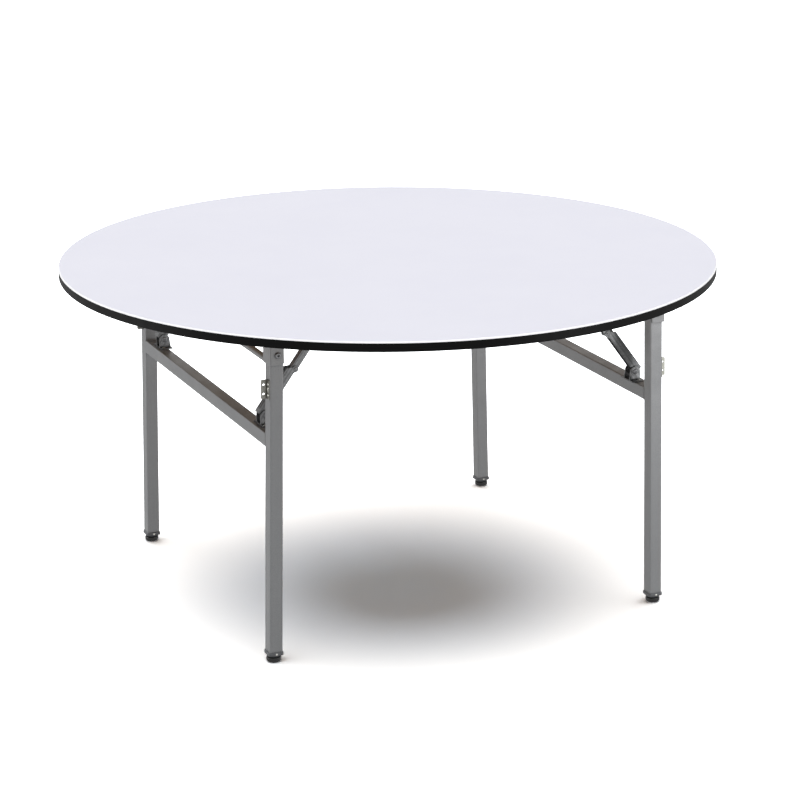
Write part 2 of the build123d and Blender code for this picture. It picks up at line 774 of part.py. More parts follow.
# Angle plates on the outer side of each leg
for corner, side, end in corners:
    side_axis = Axis((0, 0, 0), (side, 0, 0))
    y = leg_y(side, end)
    plate_drop = high_plate_drop if side == end else low_plate_drop
    turn = side * end
    with BuildPart() as plate:
        with BuildSketch(leg_section(side, y, -plate_drop)):
            with BuildLine():
                Polyline(
                    (leg_half, -turn * plate_thickness / 2),
                    (leg_half + plate_flange, -turn * plate_thickness / 2),
                    (leg_half + plate_flange, turn * plate_thickness / 2),
                    (leg_half + plate_thickness, turn * plate_thickness / 2),
                    (leg_half + plate_thickness, turn * plate_flat),
                    (leg_half, turn * plate_flat),
                    close=True,
                )
            make_face()
        extrude(amount=plate_height / 2, both=True)
        fillet(plate.edges().filter_by(Axis.Y).sort_by(side_axis)[-2:], radius=plate_corner_radius)
        # Two holes in the standing flange
        with BuildSketch(leg_plane(side, y)):
            with Locations((leg_half + plate_flange - plate_hole_setback, -plate_drop)):
                with GridLocations(0, 2 * plate_hole_half_pitch, 1, 2):
                    Circle(plate_hole_radius)
        extrude(amount=plate_thickness, both=True, mode=Mode.SUBTRACT)
        # Two rivet holes in the flat flange
        for pitch in (-plate_rivet_half_pitch, plate_rivet_half_pitch):
            rivet_y = y + end * plate_rivet_offset
            with BuildSketch(leg_face_plane(side, rivet_y, leg_half, pitch - plate_drop)):
                Circle(plate_rivet_radius + running_gap)
            extrude(amount=plate_thickness, mode=Mode.SUBTRACT)
    plate.part.label = f"angle_plate_{corner}"
    export_step(plate.part, f"parts/angle_plate_{corner}.step")

# Rivets of the angle plates
for name, side in sides:
    with BuildPart() as rivets:
        for end in (FRONT, BACK):
            plate_drop = high_plate_drop if side == end else low_plate_drop
            for pitch in (-plate_rivet_half_pitch, plate_rivet_half_pitch):
                rivet_y = leg_y(side, end) + end * plate_rivet_offset
                seat = leg_face_plane(side, rivet_y, leg_half + plate_thickness, pitch - plate_drop)
                add_head(seat, plate_rivet_head_radius, plate_rivet_head_height)
                add_shank(seat, plate_rivet_radius, plate_thickness + leg_wall)
    rivets.part.label = f"angle_plate_rivets_{name}"
    export_step(rivets.part, f"parts/angle_plate_rivets_{name}.step")

# Foot collars: a round neck under a square lip, with a plug inside the tube
for corner, side, end in corners:
    y = leg_y(side, end)
    with BuildPart() as collar:
        with BuildSketch(leg_section(side, y, lip_bottom)):
            lip_width = leg_width + 2 * lip_overhang
            RectangleRounded(lip_width, lip_width, lip_corner_radius)
        extrude(amount=lip_height)
        lip_ends = collar.faces().filter_by(Axis((0, 0, 0), up_leg(side)))
        fillet(lip_ends.edges(), radius=lip_edge_radius)
        with BuildSketch(leg_section(side, y, collar_bottom)):
            Circle(neck_lower_radius)
        with BuildSketch(leg_section(side, y, lip_bottom)):
            Circle(neck_upper_radius)
        loft()
        with BuildSketch(leg_section(side, y, tube_end)):
            plug_width = leg_width - 2 * leg_wall - 2 * running_gap
            Rectangle(plug_width, plug_width)
        extrude(amount=plug_length)
        with BuildSketch(leg_section(side, y, collar_bottom)):
            Circle(stud_radius + running_gap)
        extrude(amount=neck_height + lip_height + plug_length, mode=Mode.SUBTRACT)
    collar.part.label = f"foot_collar_{corner}"
    export_step(collar.part, f"parts/foot_collar_{corner}.step")

# Foot glides: a round pad that stands flat, on a stud up the leg's centre line
for corner, side, end in corners:
    y = leg_y(side, end)
    pad_plane = Plane(origin=(side * foot_x, y, 0), x_dir=(1, 0, 0), z_dir=(0, -1, 0))
    with BuildPart() as glide:
        with BuildSketch(pad_plane) as profile:
            span_box(0, glide_radius, 0, glide_height)
            rim = profile.vertices().group_by(Axis.X)[-1].sort_by(Axis.Y)
            fillet(rim[0], radius=glide_lower_radius)
            fillet(profile.vertices().group_by(Axis.Y)[-1].sort_by(Axis.X)[-1], radius=glide_upper_radius)
        revolve(axis=Axis(pad_plane.origin, (0, 0, 1)))
        with BuildSketch(leg_section(side, y, stud_root - leg_reach)):
            Circle(stud_radius)
        extrude(amount=stud_top - stud_root)
        chamfer(glide.faces().sort_by(Axis.Z)[-1].edges(), length=stud_chamfer)
    glide.part.label = f"foot_glide_{corner}"
    export_step(glide.part, f"parts/foot_glide_{corner}.step")

print(f"Brace length {brace_length:.3f}, angle {degrees(brace_angle):.3f} degrees")
print(f"Lower link {lower_link_length:.3f}, upper link {upper_link_length:.3f}")
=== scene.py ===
"""Round folding table: the looks of a white laminate banquet table on two hinged steel leg frames.

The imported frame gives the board, the tubes and the pressed sheet parts, and each of them gets its
finish here. The screws, rivets, pins, bolts, nuts, collars and glides are worked out as surfaces
and stand for their plainer solids. The weld beads and the collar pins are surfaces of their own.
"""

import json
import math
from functools import partial

import bpy
import numpy as np
from mathutils import Matrix, Vector


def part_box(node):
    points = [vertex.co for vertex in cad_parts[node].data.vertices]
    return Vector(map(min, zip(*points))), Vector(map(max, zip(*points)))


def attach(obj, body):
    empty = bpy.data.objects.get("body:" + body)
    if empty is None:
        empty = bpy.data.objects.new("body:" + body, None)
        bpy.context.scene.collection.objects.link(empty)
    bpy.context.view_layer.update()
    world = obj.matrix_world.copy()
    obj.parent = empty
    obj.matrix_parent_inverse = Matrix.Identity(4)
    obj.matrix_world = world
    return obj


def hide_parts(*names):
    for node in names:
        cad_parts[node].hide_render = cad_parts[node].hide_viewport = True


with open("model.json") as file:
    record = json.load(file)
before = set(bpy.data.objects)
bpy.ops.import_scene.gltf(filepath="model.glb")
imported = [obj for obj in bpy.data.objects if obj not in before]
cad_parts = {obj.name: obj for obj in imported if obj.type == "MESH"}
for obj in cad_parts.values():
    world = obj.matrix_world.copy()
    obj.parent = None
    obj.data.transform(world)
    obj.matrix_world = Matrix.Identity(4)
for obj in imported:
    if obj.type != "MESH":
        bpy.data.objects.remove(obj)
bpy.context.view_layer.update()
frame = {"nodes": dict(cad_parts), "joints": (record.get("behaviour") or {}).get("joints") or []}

bl_info = {
    "name": "Round folding table",
    "version": (1, 0, 0),
    "blender": (4, 5, 0),
    "location": "View3D > Sidebar > Table",
    "description": "Dresses a round folding table on hinged steel frames",
    "category": "Object",
}

MM = 0.001
LEFT, RIGHT = -1, 1
FRONT, BACK = -1, 1
CORNERS = (
    ("left_back", LEFT, BACK),
    ("left_front", LEFT, FRONT),
    ("right_back", RIGHT, BACK),
    ("right_front", RIGHT, FRONT),
)
SIDES = (("left", LEFT), ("right", RIGHT))
JOINTS = {joint["name"]: joint for joint in frame["joints"]}
NODES = frame["nodes"]


def linear(code):
    """Linear red, green and blue of an sRGB hex colour."""
    parts = [int(code[place:place + 2], 16) / 255 for place in (1, 3, 5)]
    return tuple(
        part / 12.92 if part <= 0.04045 else ((part + 0.055) / 1.055) ** 2.4 for part in parts
    )


# Places on the frame, in millimetres


def middle(node):
    """Middle of a node's box."""
    low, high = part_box(node)
    return (np.array(low) + np.array(high)) / 2 / MM


def half_width(node):
    """Half of a node's size from front to back."""
    low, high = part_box(node)
    return (high[1] - low[1]) / 2 / MM


def joint_place(name):
    """Point that a joint turns about."""
    return np.array(JOINTS[name]["pos_m"]) / MM


HINGE_X = abs(joint_place("left_frame_fold")[0])
HINGE_Z = joint_place("left_frame_fold")[2]
BRACE_PIN = np.abs(joint_place("right_lower_link_turn"))
TOP_PIN = np.abs(joint_place("right_upper_link_turn"))
BRACE_SLOPE = math.atan2(TOP_PIN[2] - BRACE_PIN[2], TOP_PIN[0] - BRACE_PIN[0])
SPLAY = math.asin(abs(JOINTS["left_front_glide_level"]["axis"][0]))
LEG_REACH = HINGE_Z / math.cos(SPLAY)
FOOT_X = HINGE_X + HINGE_Z * math.tan(SPLAY)
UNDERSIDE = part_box("bottom_veneer")[0][2] / MM

# Sizes that follow the solids. A drop is measured down the leg from the hinge line, a rise up it
# from the ground, and a step from a pair's middle to each of the two
LEG_HALF = 15
CROSSBAR_DROP = 192
RAIL_DROP = 24.2
RAIL_RADIUS = 7.5
CORNER_WELD_HALF = 12.2
SHEET = 2.5
BRACKET_HALF = 20.75
NUT_AND_TAIL = 7
HINGE_FEET_OUT = 2.24  # from the hinge line to the middle of its bracket's feet
HINGE_SCREW_STEP, HINGE_SCREW_INSET = 9, 8
TOP_SCREW_STEP, TOP_SCREW_INSET = 8.5, 7.5
BRACKET_RIVET_STEP, BRACKET_RIVET_IN = 20.3, 3
HIGH_PLATE_DROP, LOW_PLATE_DROP = 76, 130
PLATE_THICKNESS = 2
PLATE_RIVET_STEP, PLATE_RIVET_OUT = 12, 7.5
KNEE_CHEEK = 10.5  # from a brace's middle plane to the outside of its knee
BRACE_PIN_HALF, TOP_PIN_HALF = 13.3, 8.3
COLLAR_RISE = 12
COLLAR_PIN_RISE, COLLAR_LIP_HALF = 20.2, 17.35
STUD_LOW, STUD_HIGH = 9, 52  # rises


def legs_of(side):
    """The two legs of a side: each one's corner, and the end of the table that it stands at."""
    return [(corner, end) for corner, own_side, end in CORNERS if own_side == side]


def leg_y(corner):
    """Y of a leg's centre line."""
    return middle("leg_" + corner)[1]


def brace_y(corner):
    """Y of a brace's middle plane."""
    return middle("lower_link_" + corner)[1]


def outward(side):
    """Direction square to the legs, away from the middle of the table."""
    return np.array((side * math.cos(SPLAY), 0.0, math.sin(SPLAY)))


def up_leg(side):
    """Direction up the legs."""
    return np.array((-side * math.sin(SPLAY), 0.0, math.cos(SPLAY)))


def leg_point(side, y, out, rise):
    """Point given square to the leg and along it, from the hinge line."""
    x = HINGE_X + out * math.cos(SPLAY) - rise * math.sin(SPLAY)
    z = HINGE_Z + out * math.sin(SPLAY) + rise * math.cos(SPLAY)
    return np.array((side * x, y, z))


def axes_along(direction, across=(0.0, 1.0, 0.0)):
    """Three unit directions as rows: the third is the given one, and the first is as near as can be
    to across."""
    third = np.array(direction, float)
    third = third / np.linalg.norm(third)
    first = np.array(across, float)
    first = first - third * (first @ third)
    first = first / np.linalg.norm(first)
    return np.array((first, np.cross(third, first), third))


def axes_across(end):
    """The axes of a bolt, pin or rivet that points to the front or to the back."""
    return axes_along((0, end, 0), (1, 0, 0))


# Surfaces


def grid_faces(rows, around, wrap_rows, close_start, close_end):
    """Faces of a grid whose columns run round: each cell is a quad, and a closed end is a fan to a
    point."""
    row = np.arange(rows if wrap_rows else rows - 1)
    column = np.arange(around)
    i, j = [part.ravel() for part in np.meshgrid(row, column, indexing="ij")]
    i_next, j_next = (i + 1) % rows, (j + 1) % around
    quads = (i * around + j, i * around + j_next, i_next * around + j_next, i_next * around + j)
    faces = np.stack(quads, 1).tolist()
    after = (column + 1) % around
    pole = rows * around
    if close_start:
        faces += np.stack((np.full(around, pole), after, column), 1).tolist()
        pole += 1
    if close_end:
        last = (rows - 1) * around
        faces += np.stack((np.full(around, pole), last + column, last + after), 1).tolist()
    return faces


def closed_surface(points, wrap_rows=False):
    """Vertices and faces of a grid of points that is closed round, and closed by a fan at both ends
    or by its rows. The faces are turned over where the volume that they enclose is negative."""
    rows, around = points.shape[:2]
    vertices = points.reshape(-1, 3)
    if not wrap_rows:
        vertices = np.vstack((vertices, points[0].mean(0), points[-1].mean(0)))
    faces = grid_faces(rows, around, wrap_rows, not wrap_rows, not wrap_rows)
    corners = np.array([face[:3] for face in faces])
    a, b, c = (vertices[corners[:, place]] for place in range(3))
    centre = vertices.mean(0)
    if np.einsum("ij,ij->", a - centre, np.cross(b - centre, c - centre)) < 0:
        faces = [face[::-1] for face in faces]
    return vertices, faces


def turned(radius, height, around, six=None, lift=None, power=None, wrap_rows=False):
    """A closed shape: a profile carried round the third axis, whose row i is a ring of radius r at
    height z.

    six draws a ring towards a hexagon: its radius is r times 1 plus six times (cos 30 degrees over
    the cosine of the angle from the nearest flat's middle, less 1). power draws it towards a
    rounded square: its radius is r over the power-th root of |cos|^power plus |sin|^power. lift is
    added to each point's height.
    """
    radius = np.array(radius, float)[:, None]
    height = np.array(height, float)[:, None]
    angle = np.linspace(0, 2 * math.pi, around, endpoint=False)[None, :]
    if six is not None:
        hexagon = math.cos(math.pi / 6) / np.cos(angle % (math.pi / 3) - math.pi / 6)
        radius = radius * (1 + np.array(six, float)[:, None] * (hexagon - 1))
    if power is not None:
        power = np.array(power, float)[:, None]
        across = np.abs(np.cos(angle)) ** power + np.abs(np.sin(angle)) ** power
        radius = radius / across ** (1 / power)
    height = height + np.zeros_like(angle)
    radius = radius + np.zeros_like(height)
    if lift is not None:
        height = height + lift(radius, height, angle)
    points = np.stack((radius * np.cos(angle), radius * np.sin(angle), height), 2)
    return closed_surface(points, wrap_rows)


def copies(shape, places):
    """Every point goes to a place's origin plus its three coordinates along the place's axes."""
    vertices, faces = shape
    origins = np.array([place[0] for place in places])
    axes = np.array([place[1] for place in places])
    moved = origins[:, None, :] + np.einsum("vk,nkd->nvd", vertices, axes)
    joined = []
    for start in range(0, len(places) * len(vertices), len(vertices)):
        joined += [[start + corner for corner in face] for face in faces]
    return moved.reshape(-1, 3), joined


def join(*shapes):
    """One shape of several."""
    vertices, faces = [], []
    for part_vertices, part_faces in shapes:
        start = sum(len(part) for part in vertices)
        vertices.append(part_vertices)
        faces += [[start + corner for corner in face] for face in part_faces]
    return np.vstack(vertices), faces


def make_piece(name, shape, body, finish, replaced=(), crease=38):
    """Puts a shape in millimetres into a mesh in metres, rides it on a body and gives it its slot
    and finish. Faces that meet at more than crease degrees have a sharp edge."""
    vertices, faces = shape
    mesh = bpy.data.meshes.new(name)
    mesh.from_pydata((vertices * MM).tolist(), [], faces)
    mesh.validate()
    mesh.shade_smooth()
    mesh.set_sharp_from_angle(angle=math.radians(crease))
    mesh.materials.append(table_material(finish))
    piece = bpy.data.objects.new(name, mesh)
    bpy.context.scene.collection.objects.link(piece)
    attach(piece, body)
    if replaced:
        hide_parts(*replaced)
    return piece


def make_fasteners(name, shape, places, body, finish, replaced=()):
    """Puts a fastener at each of its places, as one piece."""
    make_piece(name, copies(shape, places), body, finish, replaced)


# Materials. Sockets that share a name go by number, such as those of a Mix node for colours

MIX_SHARE, MIX_A, MIX_B = 0, 6, 7
NOISE_SPAN = {"From Min": 0.3, "From Max": 0.7}


def add_node(tree, kind, sockets=None, **settings):
    """Adds one node with its own settings. Each of its sockets gets a value, or a link from a
    socket, or from the first output that another node has in use."""
    made = tree.nodes.new("ShaderNode" + kind)
    for key, value in settings.items():
        setattr(made, key, value)
    for socket, source in (sockets or {}).items():
        if isinstance(source, bpy.types.Node):
            source = next(output for output in source.outputs if output.enabled)
        if isinstance(source, bpy.types.NodeSocket):
            tree.links.new(source, made.inputs[socket])
        else:
            made.inputs[socket].default_value = source
    return made


def start_tree(owner):
    """Empties a material's or world's node tree, and gives the call that adds a node to it."""
    owner.use_nodes = True
    owner.node_tree.nodes.clear()
    return partial(add_node, owner.node_tree)


def per_metre(millimetres):
    """Pattern scale whose features are that many millimetres apart."""
    return 1 / (millimetres * MM)


def stretch(*millimetres):
    """Pattern scale for each of the three directions."""
    return tuple(per_metre(size) for size in millimetres)


def settled_dirt(add, colour, reach, depth):
    """A colour darkened by painted shade in the corners where pieces meet: reach is in millimetres,
    and depth is the share of the light that the painted shade takes there."""
    shut = add("AmbientOcclusion", {"Distance": reach * MM}, samples=6).outputs["AO"]
    span = {"From Min": 0.35, "From Max": 0.96, "To Min": 1 - depth}
    light = add("MapRange", {"Value": shut, **span})
    return add(
        "Mix", {MIX_SHARE: 1.0, MIX_A: colour, MIX_B: light}, data_type="RGBA",
        blend_type="MULTIPLY",
    )


def worn_corners(add, colour, bare, radius, start, full, most):
    """A colour drawn towards a paler one where the surface turns within radius millimetres: partly
    wear along the corners and partly a painted highlight on them. start and full are cosines
    between the true normal and the rounded one, and most is the share reached at full. Gives the
    rounded normal and the colour."""
    soft = add("Bevel", {"Radius": radius * MM}, samples=4)
    facing = add("NewGeometry").outputs["Normal"]
    turn = add("VectorMath", {0: soft, 1: facing}, operation="DOT_PRODUCT")
    rubbed = add("MapRange", {"Value": turn, "From Min": start, "From Max": full, "To Max": most})
    return soft, add("Mix", {MIX_SHARE: rubbed, MIX_A: colour, MIX_B: bare}, data_type="RGBA")


# Each finish gives the sockets of its shader. add adds a node, place is the object's coordinates


def melamine_laminate(add, place, white, cloudy, cut_edge):
    """Melamine laminate pressed against a satin plate: a pebbled sheen, and a whiter cut edge that
    is also painted whiter as a highlight.
    """
    # Cloudy print tone, about 250 mm across, hardly seen
    cloud = add("TexNoise", {"Vector": place, "Scale": per_metre(250), "Detail": 3.0})
    tone = add("Mix", {MIX_SHARE: cloud, MIX_A: white, MIX_B: cloudy}, data_type="RGBA")
    # The bevelled rim, found by its normal turning from straight up, shows the white of the sheet's
    # cut edge, painted near pure white as a highlight line too
    up = add("SeparateXYZ", {0: add("NewGeometry").outputs["Normal"]}).outputs["Z"]
    rim = add("MapRange", {"Value": up, "From Min": 0.985, "From Max": 0.9})
    face = add("Mix", {MIX_SHARE: rim, MIX_A: tone, MIX_B: cut_edge}, data_type="RGBA")
    # Pebbles of the press plate, 0.9 mm across and a few hundredths deep, drawn coarse to show
    pebble = add("TexNoise", {"Vector": place, "Scale": per_metre(0.9), "Roughness": 0.55})
    bump = add("Bump", {"Height": pebble, "Strength": 0.18, "Distance": 0.02 * MM})
    # Wiped patches some 90 mm across are a little smoother
    wiped = add(
        "TexNoise", {"Vector": place, "Scale": per_metre(90), "Detail": 4.0, "Roughness": 0.6}
    )
    rough = add("MapRange", {"Value": wiped, **NOISE_SPAN, "To Min": 0.46, "To Max": 0.58})
    return {"Base Color": face, "Normal": bump, "Roughness": rough, "IOR": 1.5}


def extruded_pvc(add, place, black, scuffed):
    """Extruded soft PVC edge: satin black with fine lines along it and rubbed grey patches."""
    # Die lines run round the rim, 0.8 mm apart up its height
    lengthwise = add("Mapping", {"Vector": place, "Scale": (2.0, 2.0, per_metre(0.8))})
    lines = add("TexNoise", {"Vector": lengthwise, "Scale": 1.0})
    bump = add("Bump", {"Height": lines, "Strength": 0.3, "Distance": 0.05 * MM})
    # Scuffs come in patches 35 mm across
    scuff = add(
        "TexNoise", {"Vector": place, "Scale": per_metre(35), "Detail": 6.0, "Roughness": 0.7}
    )
    rubbed = add("MapRange", {"Value": scuff, "From Min": 0.58, "From Max": 0.8, "To Max": 0.5})
    tone = add("Mix", {MIX_SHARE: rubbed, MIX_A: black, MIX_B: scuffed}, data_type="RGBA")
    rough = add("MapRange", {"Value": scuff, **NOISE_SPAN, "To Min": 0.42, "To Max": 0.56})
    return {
        "Base Color": tone, "Normal": bump, "Roughness": rough, "IOR": 1.53,
        "Specular IOR Level": 0.1,
    }


def rotary_plywood(add, place, early, late, pore):
    """Rotary-cut poplar veneer: long wandering figure, fine pores, and a dry matt face."""
    # Figure 45 mm wide and ten times as long, along the hinge lines, with nine rings to its range
    drawn = add("Mapping", {"Vector": place, "Scale": stretch(45, 450, 45)})
    figure = add("TexNoise", {"Vector": drawn, "Scale": 1.0, "Detail": 3.0, "Distortion": 1.4})
    rings = add("Math", {0: figure, 1: 9.0}, operation="MULTIPLY")
    season = add("Math", {0: rings}, operation="FRACT")
    span = {"From Min": 0.55, "To Max": 0.75}
    late_wood = add("MapRange", {"Value": season, **span}, interpolation_type="SMOOTHERSTEP")
    tone = add("Mix", {MIX_SHARE: late_wood, MIX_A: early, MIX_B: late}, data_type="RGBA")
    # Pores 0.7 mm wide and 14 mm long
    drawn = add("Mapping", {"Vector": place, "Scale": stretch(0.7, 14, 0.7)})
    pores = add("TexNoise", {"Vector": drawn, "Scale": 1.0})
    dark = add("MapRange", {"Value": pores, "From Min": 0.55, "From Max": 0.75, "To Max": 0.55})
    face = add("Mix", {MIX_SHARE: dark, MIX_A: tone, MIX_B: pore}, data_type="RGBA")
    bump = add("Bump", {"Height": pores, "Strength": 0.5, "Distance": 0.15 * MM})
    return {"Base Color": face, "Normal": bump, "Roughness": 0.72, "IOR": 1.5}


def powder_coat(add, place, paint, shade, pale):
    """Silver grey powder coat on steel tube: orange peel, fine metallic fleck and a satin sheen."""
    # The coat's thickness drifts over 60 mm
    cloud = add(
        "TexNoise", {"Vector": place, "Scale": per_metre(60), "Detail": 4.0, "Roughness": 0.6}
    )
    tone = add("Mix", {MIX_SHARE: cloud, MIX_A: paint, MIX_B: shade}, data_type="RGBA")
    rough = add("MapRange", {"Value": cloud, **NOISE_SPAN, "To Min": 0.36, "To Max": 0.5})
    # Aluminium fleck, 0.6 mm across, drawn coarse enough to show
    fleck = add("TexVoronoi", {"Vector": place, "Scale": per_metre(0.6)}).outputs["Color"]
    spark = add("MapRange", {"Value": add("SeparateColor", {0: fleck}), "To Max": 0.3})
    flecked = add("Mix", {MIX_SHARE: spark, MIX_A: tone, MIX_B: pale}, data_type="RGBA")
    # Handling wears the paint thin along the corners of the tube, and the paler corners are also a
    # painted highlight
    soft, worn = worn_corners(add, flecked, pale, radius=2.0, start=0.995, full=0.88, most=0.75)
    # Orange peel, 2.2 mm from crest to crest
    peel = add("TexNoise", {"Vector": place, "Scale": per_metre(2.2), "Roughness": 0.45})
    bump = add("Bump", {"Height": peel, "Normal": soft, "Strength": 0.22, "Distance": 0.08 * MM})
    # The base colour gets painted shade in the corners where pieces meet
    return {
        "Base Color": settled_dirt(add, worn, reach=8, depth=0.65), "Normal": bump,
        "Roughness": rough, "Metallic": 0.35,
    }


def plated_steel(add, place, base, shade, bare, crystals, smooth, dull, edge, rolled=0.0):
    """Zinc on steel: crystals of slightly different tone, so many millimetres across, paler within
    edge millimetres of a corner, partly where it is rubbed and partly as a painted highlight, with
    faint scratches between the roughness of smooth and dull. rolled is how strongly the mill's
    lines show along the braces."""
    crystal = add("TexVoronoi", {"Vector": place, "Scale": per_metre(crystals)}).outputs["Color"]
    grey = add("SeparateColor", {0: crystal})
    tone = add("Mix", {MIX_SHARE: grey, MIX_A: base, MIX_B: shade}, data_type="RGBA")
    # Mill lines 4 mm apart, along the braces on both sides of the table
    mirrored = add("VectorMath", {0: place}, operation="ABSOLUTE")
    turn = {"Vector": mirrored, "Angle": BRACE_SLOPE}
    aligned = add("VectorRotate", turn, rotation_type="Y_AXIS")
    drawn = add("Mapping", {"Vector": aligned, "Scale": stretch(160, 160, 4)})
    mill = add("TexNoise", {"Vector": drawn, "Scale": 1.0})
    span = {"From Min": 0.35, "From Max": 0.65, "To Min": 1 - rolled, "To Max": 1 + rolled / 2}
    line = add("MapRange", {"Value": mill, **span})
    lined = add(
        "Mix", {MIX_SHARE: 1.0, MIX_A: tone, MIX_B: line}, data_type="RGBA", blend_type="MULTIPLY"
    )
    # Corners turn paler, partly wear and partly a painted highlight
    soft, rubbed = worn_corners(add, lined, bare, radius=edge, start=0.985, full=0.85, most=0.6)
    # Tumbling scratches, 0.5 mm apart and 12 mm long
    drawn = add("Mapping", {"Vector": place, "Scale": stretch(0.5, 12, 0.9)})
    scratch = add("TexNoise", {"Vector": drawn, "Scale": 1.0, "Detail": 3.0, "Distortion": 0.6})
    rough = add("MapRange", {"Value": scratch, **NOISE_SPAN, "To Min": smooth, "To Max": dull})
    bump = add("Bump", {"Height": scratch, "Normal": soft, "Strength": 0.2, "Distance": 0.04 * MM})
    # The base colour gets painted shade in the corners where pieces meet
    return {
        "Base Color": settled_dirt(add, rubbed, reach=4, depth=0.65), "Normal": bump,
        "Roughness": rough, "Metallic": 1.0,
    }


def moulded_plastic(add, place, base, shade, roughness, grain, ior):
    """Injection-moulded plastic: a spark-eroded grain, cloudy tone and a soft sheen."""
    # The melt's clouds, 14 mm across
    cloud = add(
        "TexNoise", {"Vector": place, "Scale": per_metre(14), "Detail": 5.0, "Roughness": 0.65}
    )
    tone = add("Mix", {MIX_SHARE: cloud, MIX_A: base, MIX_B: shade}, data_type="RGBA")
    spark = add("TexNoise", {"Vector": place, "Scale": per_metre(grain)})
    bump = add("Bump", {"Height": spark, "Strength": 0.25, "Distance": 0.05 * MM})
    low, high = roughness - 0.06, roughness + 0.08
    rough = add("MapRange", {"Value": cloud, **NOISE_SPAN, "To Min": low, "To Max": high})
    return {"Base Color": tone, "Normal": bump, "Roughness": rough, "IOR": ior}


# What makes each finish, its colours among the table's, and its own numbers
FINISHES = {
    "satin_melamine_laminate": (
        melamine_laminate, ("laminate", "laminate_shade", "laminate_rim"), {},
    ),
    "extruded_pvc_edge": (extruded_pvc, ("edge", "edge_rubbed"), {}),
    "rotary_cut_plywood": (rotary_plywood, ("plywood", "plywood_ring", "plywood_pore"), {}),
    "silver_powder_coat": (powder_coat, ("paint", "paint_shade", "paint_fleck"), {}),
    # Dull zinc with 2.5 mm crystals, gone dark grey
    "galvanised_pressed_sheet": (
        plated_steel, ("sheet", "sheet_shade", "sheet_bare"),
        {"crystals": 2.5, "smooth": 0.36, "dull": 0.54, "edge": 0.6, "rolled": 0.4},
    ),
    # Chromate-dipped zinc, with a faint straw tint that wanders over 3 mm
    # Its third colour, the fastener zinc, is also its paler corners, partly wear and partly a
    # painted highlight
    "yellow_passivated_zinc": (
        plated_steel, ("plate", "plate_shade", "fastener"),
        {"crystals": 3.0, "smooth": 0.28, "dull": 0.46, "edge": 0.4},
    ),
    # Barrel-plated fasteners, finely scratched
    "bright_zinc_plate": (
        plated_steel, ("fastener", "fastener_shade", "fastener"),
        {"crystals": 1.2, "smooth": 0.22, "dull": 0.4, "edge": 0.3},
    ),
    # Baked zinc flake: dull grey, a little paler along its corners, partly where it is rubbed and
    # partly as a painted highlight
    "grey_zinc_flake_coat": (
        plated_steel, ("flake_coat", "flake_coat_shade", "sheet_bare"),
        {"crystals": 0.9, "smooth": 0.4, "dull": 0.56, "edge": 0.4},
    ),
    "moulded_polypropylene": (
        moulded_plastic, ("collar", "collar_shade"), {"roughness": 0.48, "grain": 0.7, "ior": 1.49},
    ),
    "moulded_black_nylon": (
        moulded_plastic, ("glide", "glide_shade"), {"roughness": 0.3, "grain": 0.9, "ior": 1.53},
    ),
    "natural_nylon": (
        moulded_plastic, ("spacer", "spacer_shade"), {"roughness": 0.42, "grain": 0.8, "ior": 1.53},
    ),
}


def table_material(finish):
    """The material of a finish, made when it is first asked for."""
    made = bpy.data.materials.get(finish)
    if made is None:
        made = bpy.data.materials.new(finish)
        make, names, numbers = FINISHES[finish]
        chosen = bpy.context.scene.table_colours
        colours = [(*getattr(chosen, name), 1.0) for name in names]
        add = start_tree(made)
        sockets = make(add, add("TexCoord").outputs["Object"], *colours, **numbers)
        add("OutputMaterial", {"Surface": add("BsdfPrincipled", sockets)})
    return made


def finish_nodes(finish, *names):
    """Gives CAD nodes a finish."""
    material = table_material(finish)
    for name in names:
        node = NODES[name]
        for slot in node.material_slots:
            slot.material = material
        if not node.material_slots:
            node.data.materials.append(material)


# Turned and formed parts, in millimetres, each with its seat at height zero and its head above it


def screw(head_diameter):
    """Pan-head screw: a dome z = H times the root of 1 - (r/R)^4, less a cross recess whose two
    arms narrow and rise away from the centre, on a threaded shank with a pointed end."""
    height, crest, root, step = 2.0, 2.0, 1.55, 0.6
    arm_half, arm_reach, depth = 0.62, 2.45, 1.25
    ring = np.linspace(0.06, 1, 15)
    dome = height * np.sqrt(np.clip(1 - ring ** 4, 0, 1))
    turns = np.arange(0, 12.01, step)
    thread = np.where(np.arange(len(turns)) % 2 == 0, crest, root)
    thread[-4:] *= np.linspace(0.8, 0.15, 4)
    radius = np.concatenate((ring * (head_diameter / 2 / MM), (1.9, 1.9), thread))
    rise = np.concatenate((dome, (0.0, -SHEET + 0.1), -SHEET - turns))

    def recess(r, z, angle):
        across = np.minimum(np.abs(r * np.cos(angle)), np.abs(r * np.sin(angle)))
        arm = np.clip((arm_half - across) / 0.22, 0, 1) * np.clip((arm_reach - r) / 0.45, 0, 1)
        return np.where(z > 0.05, -arm * depth * (1 - 0.3 * r / arm_reach), 0)

    return turned(radius, rise, around=40, lift=recess)


def rivet(head, height, shank, tail):
    """Domed rivet: the head is a low arch with a set mark at its crown, on a plain shank. head
    and shank are radii, and tail is how far the shank goes in."""
    ring = np.array((0.08, 0.2, 0.26, 0.34, 0.5, 0.66, 0.8, 0.9, 0.97, 1.0))
    crown = np.sqrt(np.clip(1.06 - ring ** 2, 0, 1)) * height
    crown[:2] -= 0.28 * height
    crown[2] -= 0.1 * height
    radius = np.concatenate((ring * head, (head * 0.985, shank, shank, shank * 0.8)))
    rise = np.concatenate((crown, (0.0, 0.0, -tail + 0.3, -tail)))
    return turned(radius, rise, around=28)


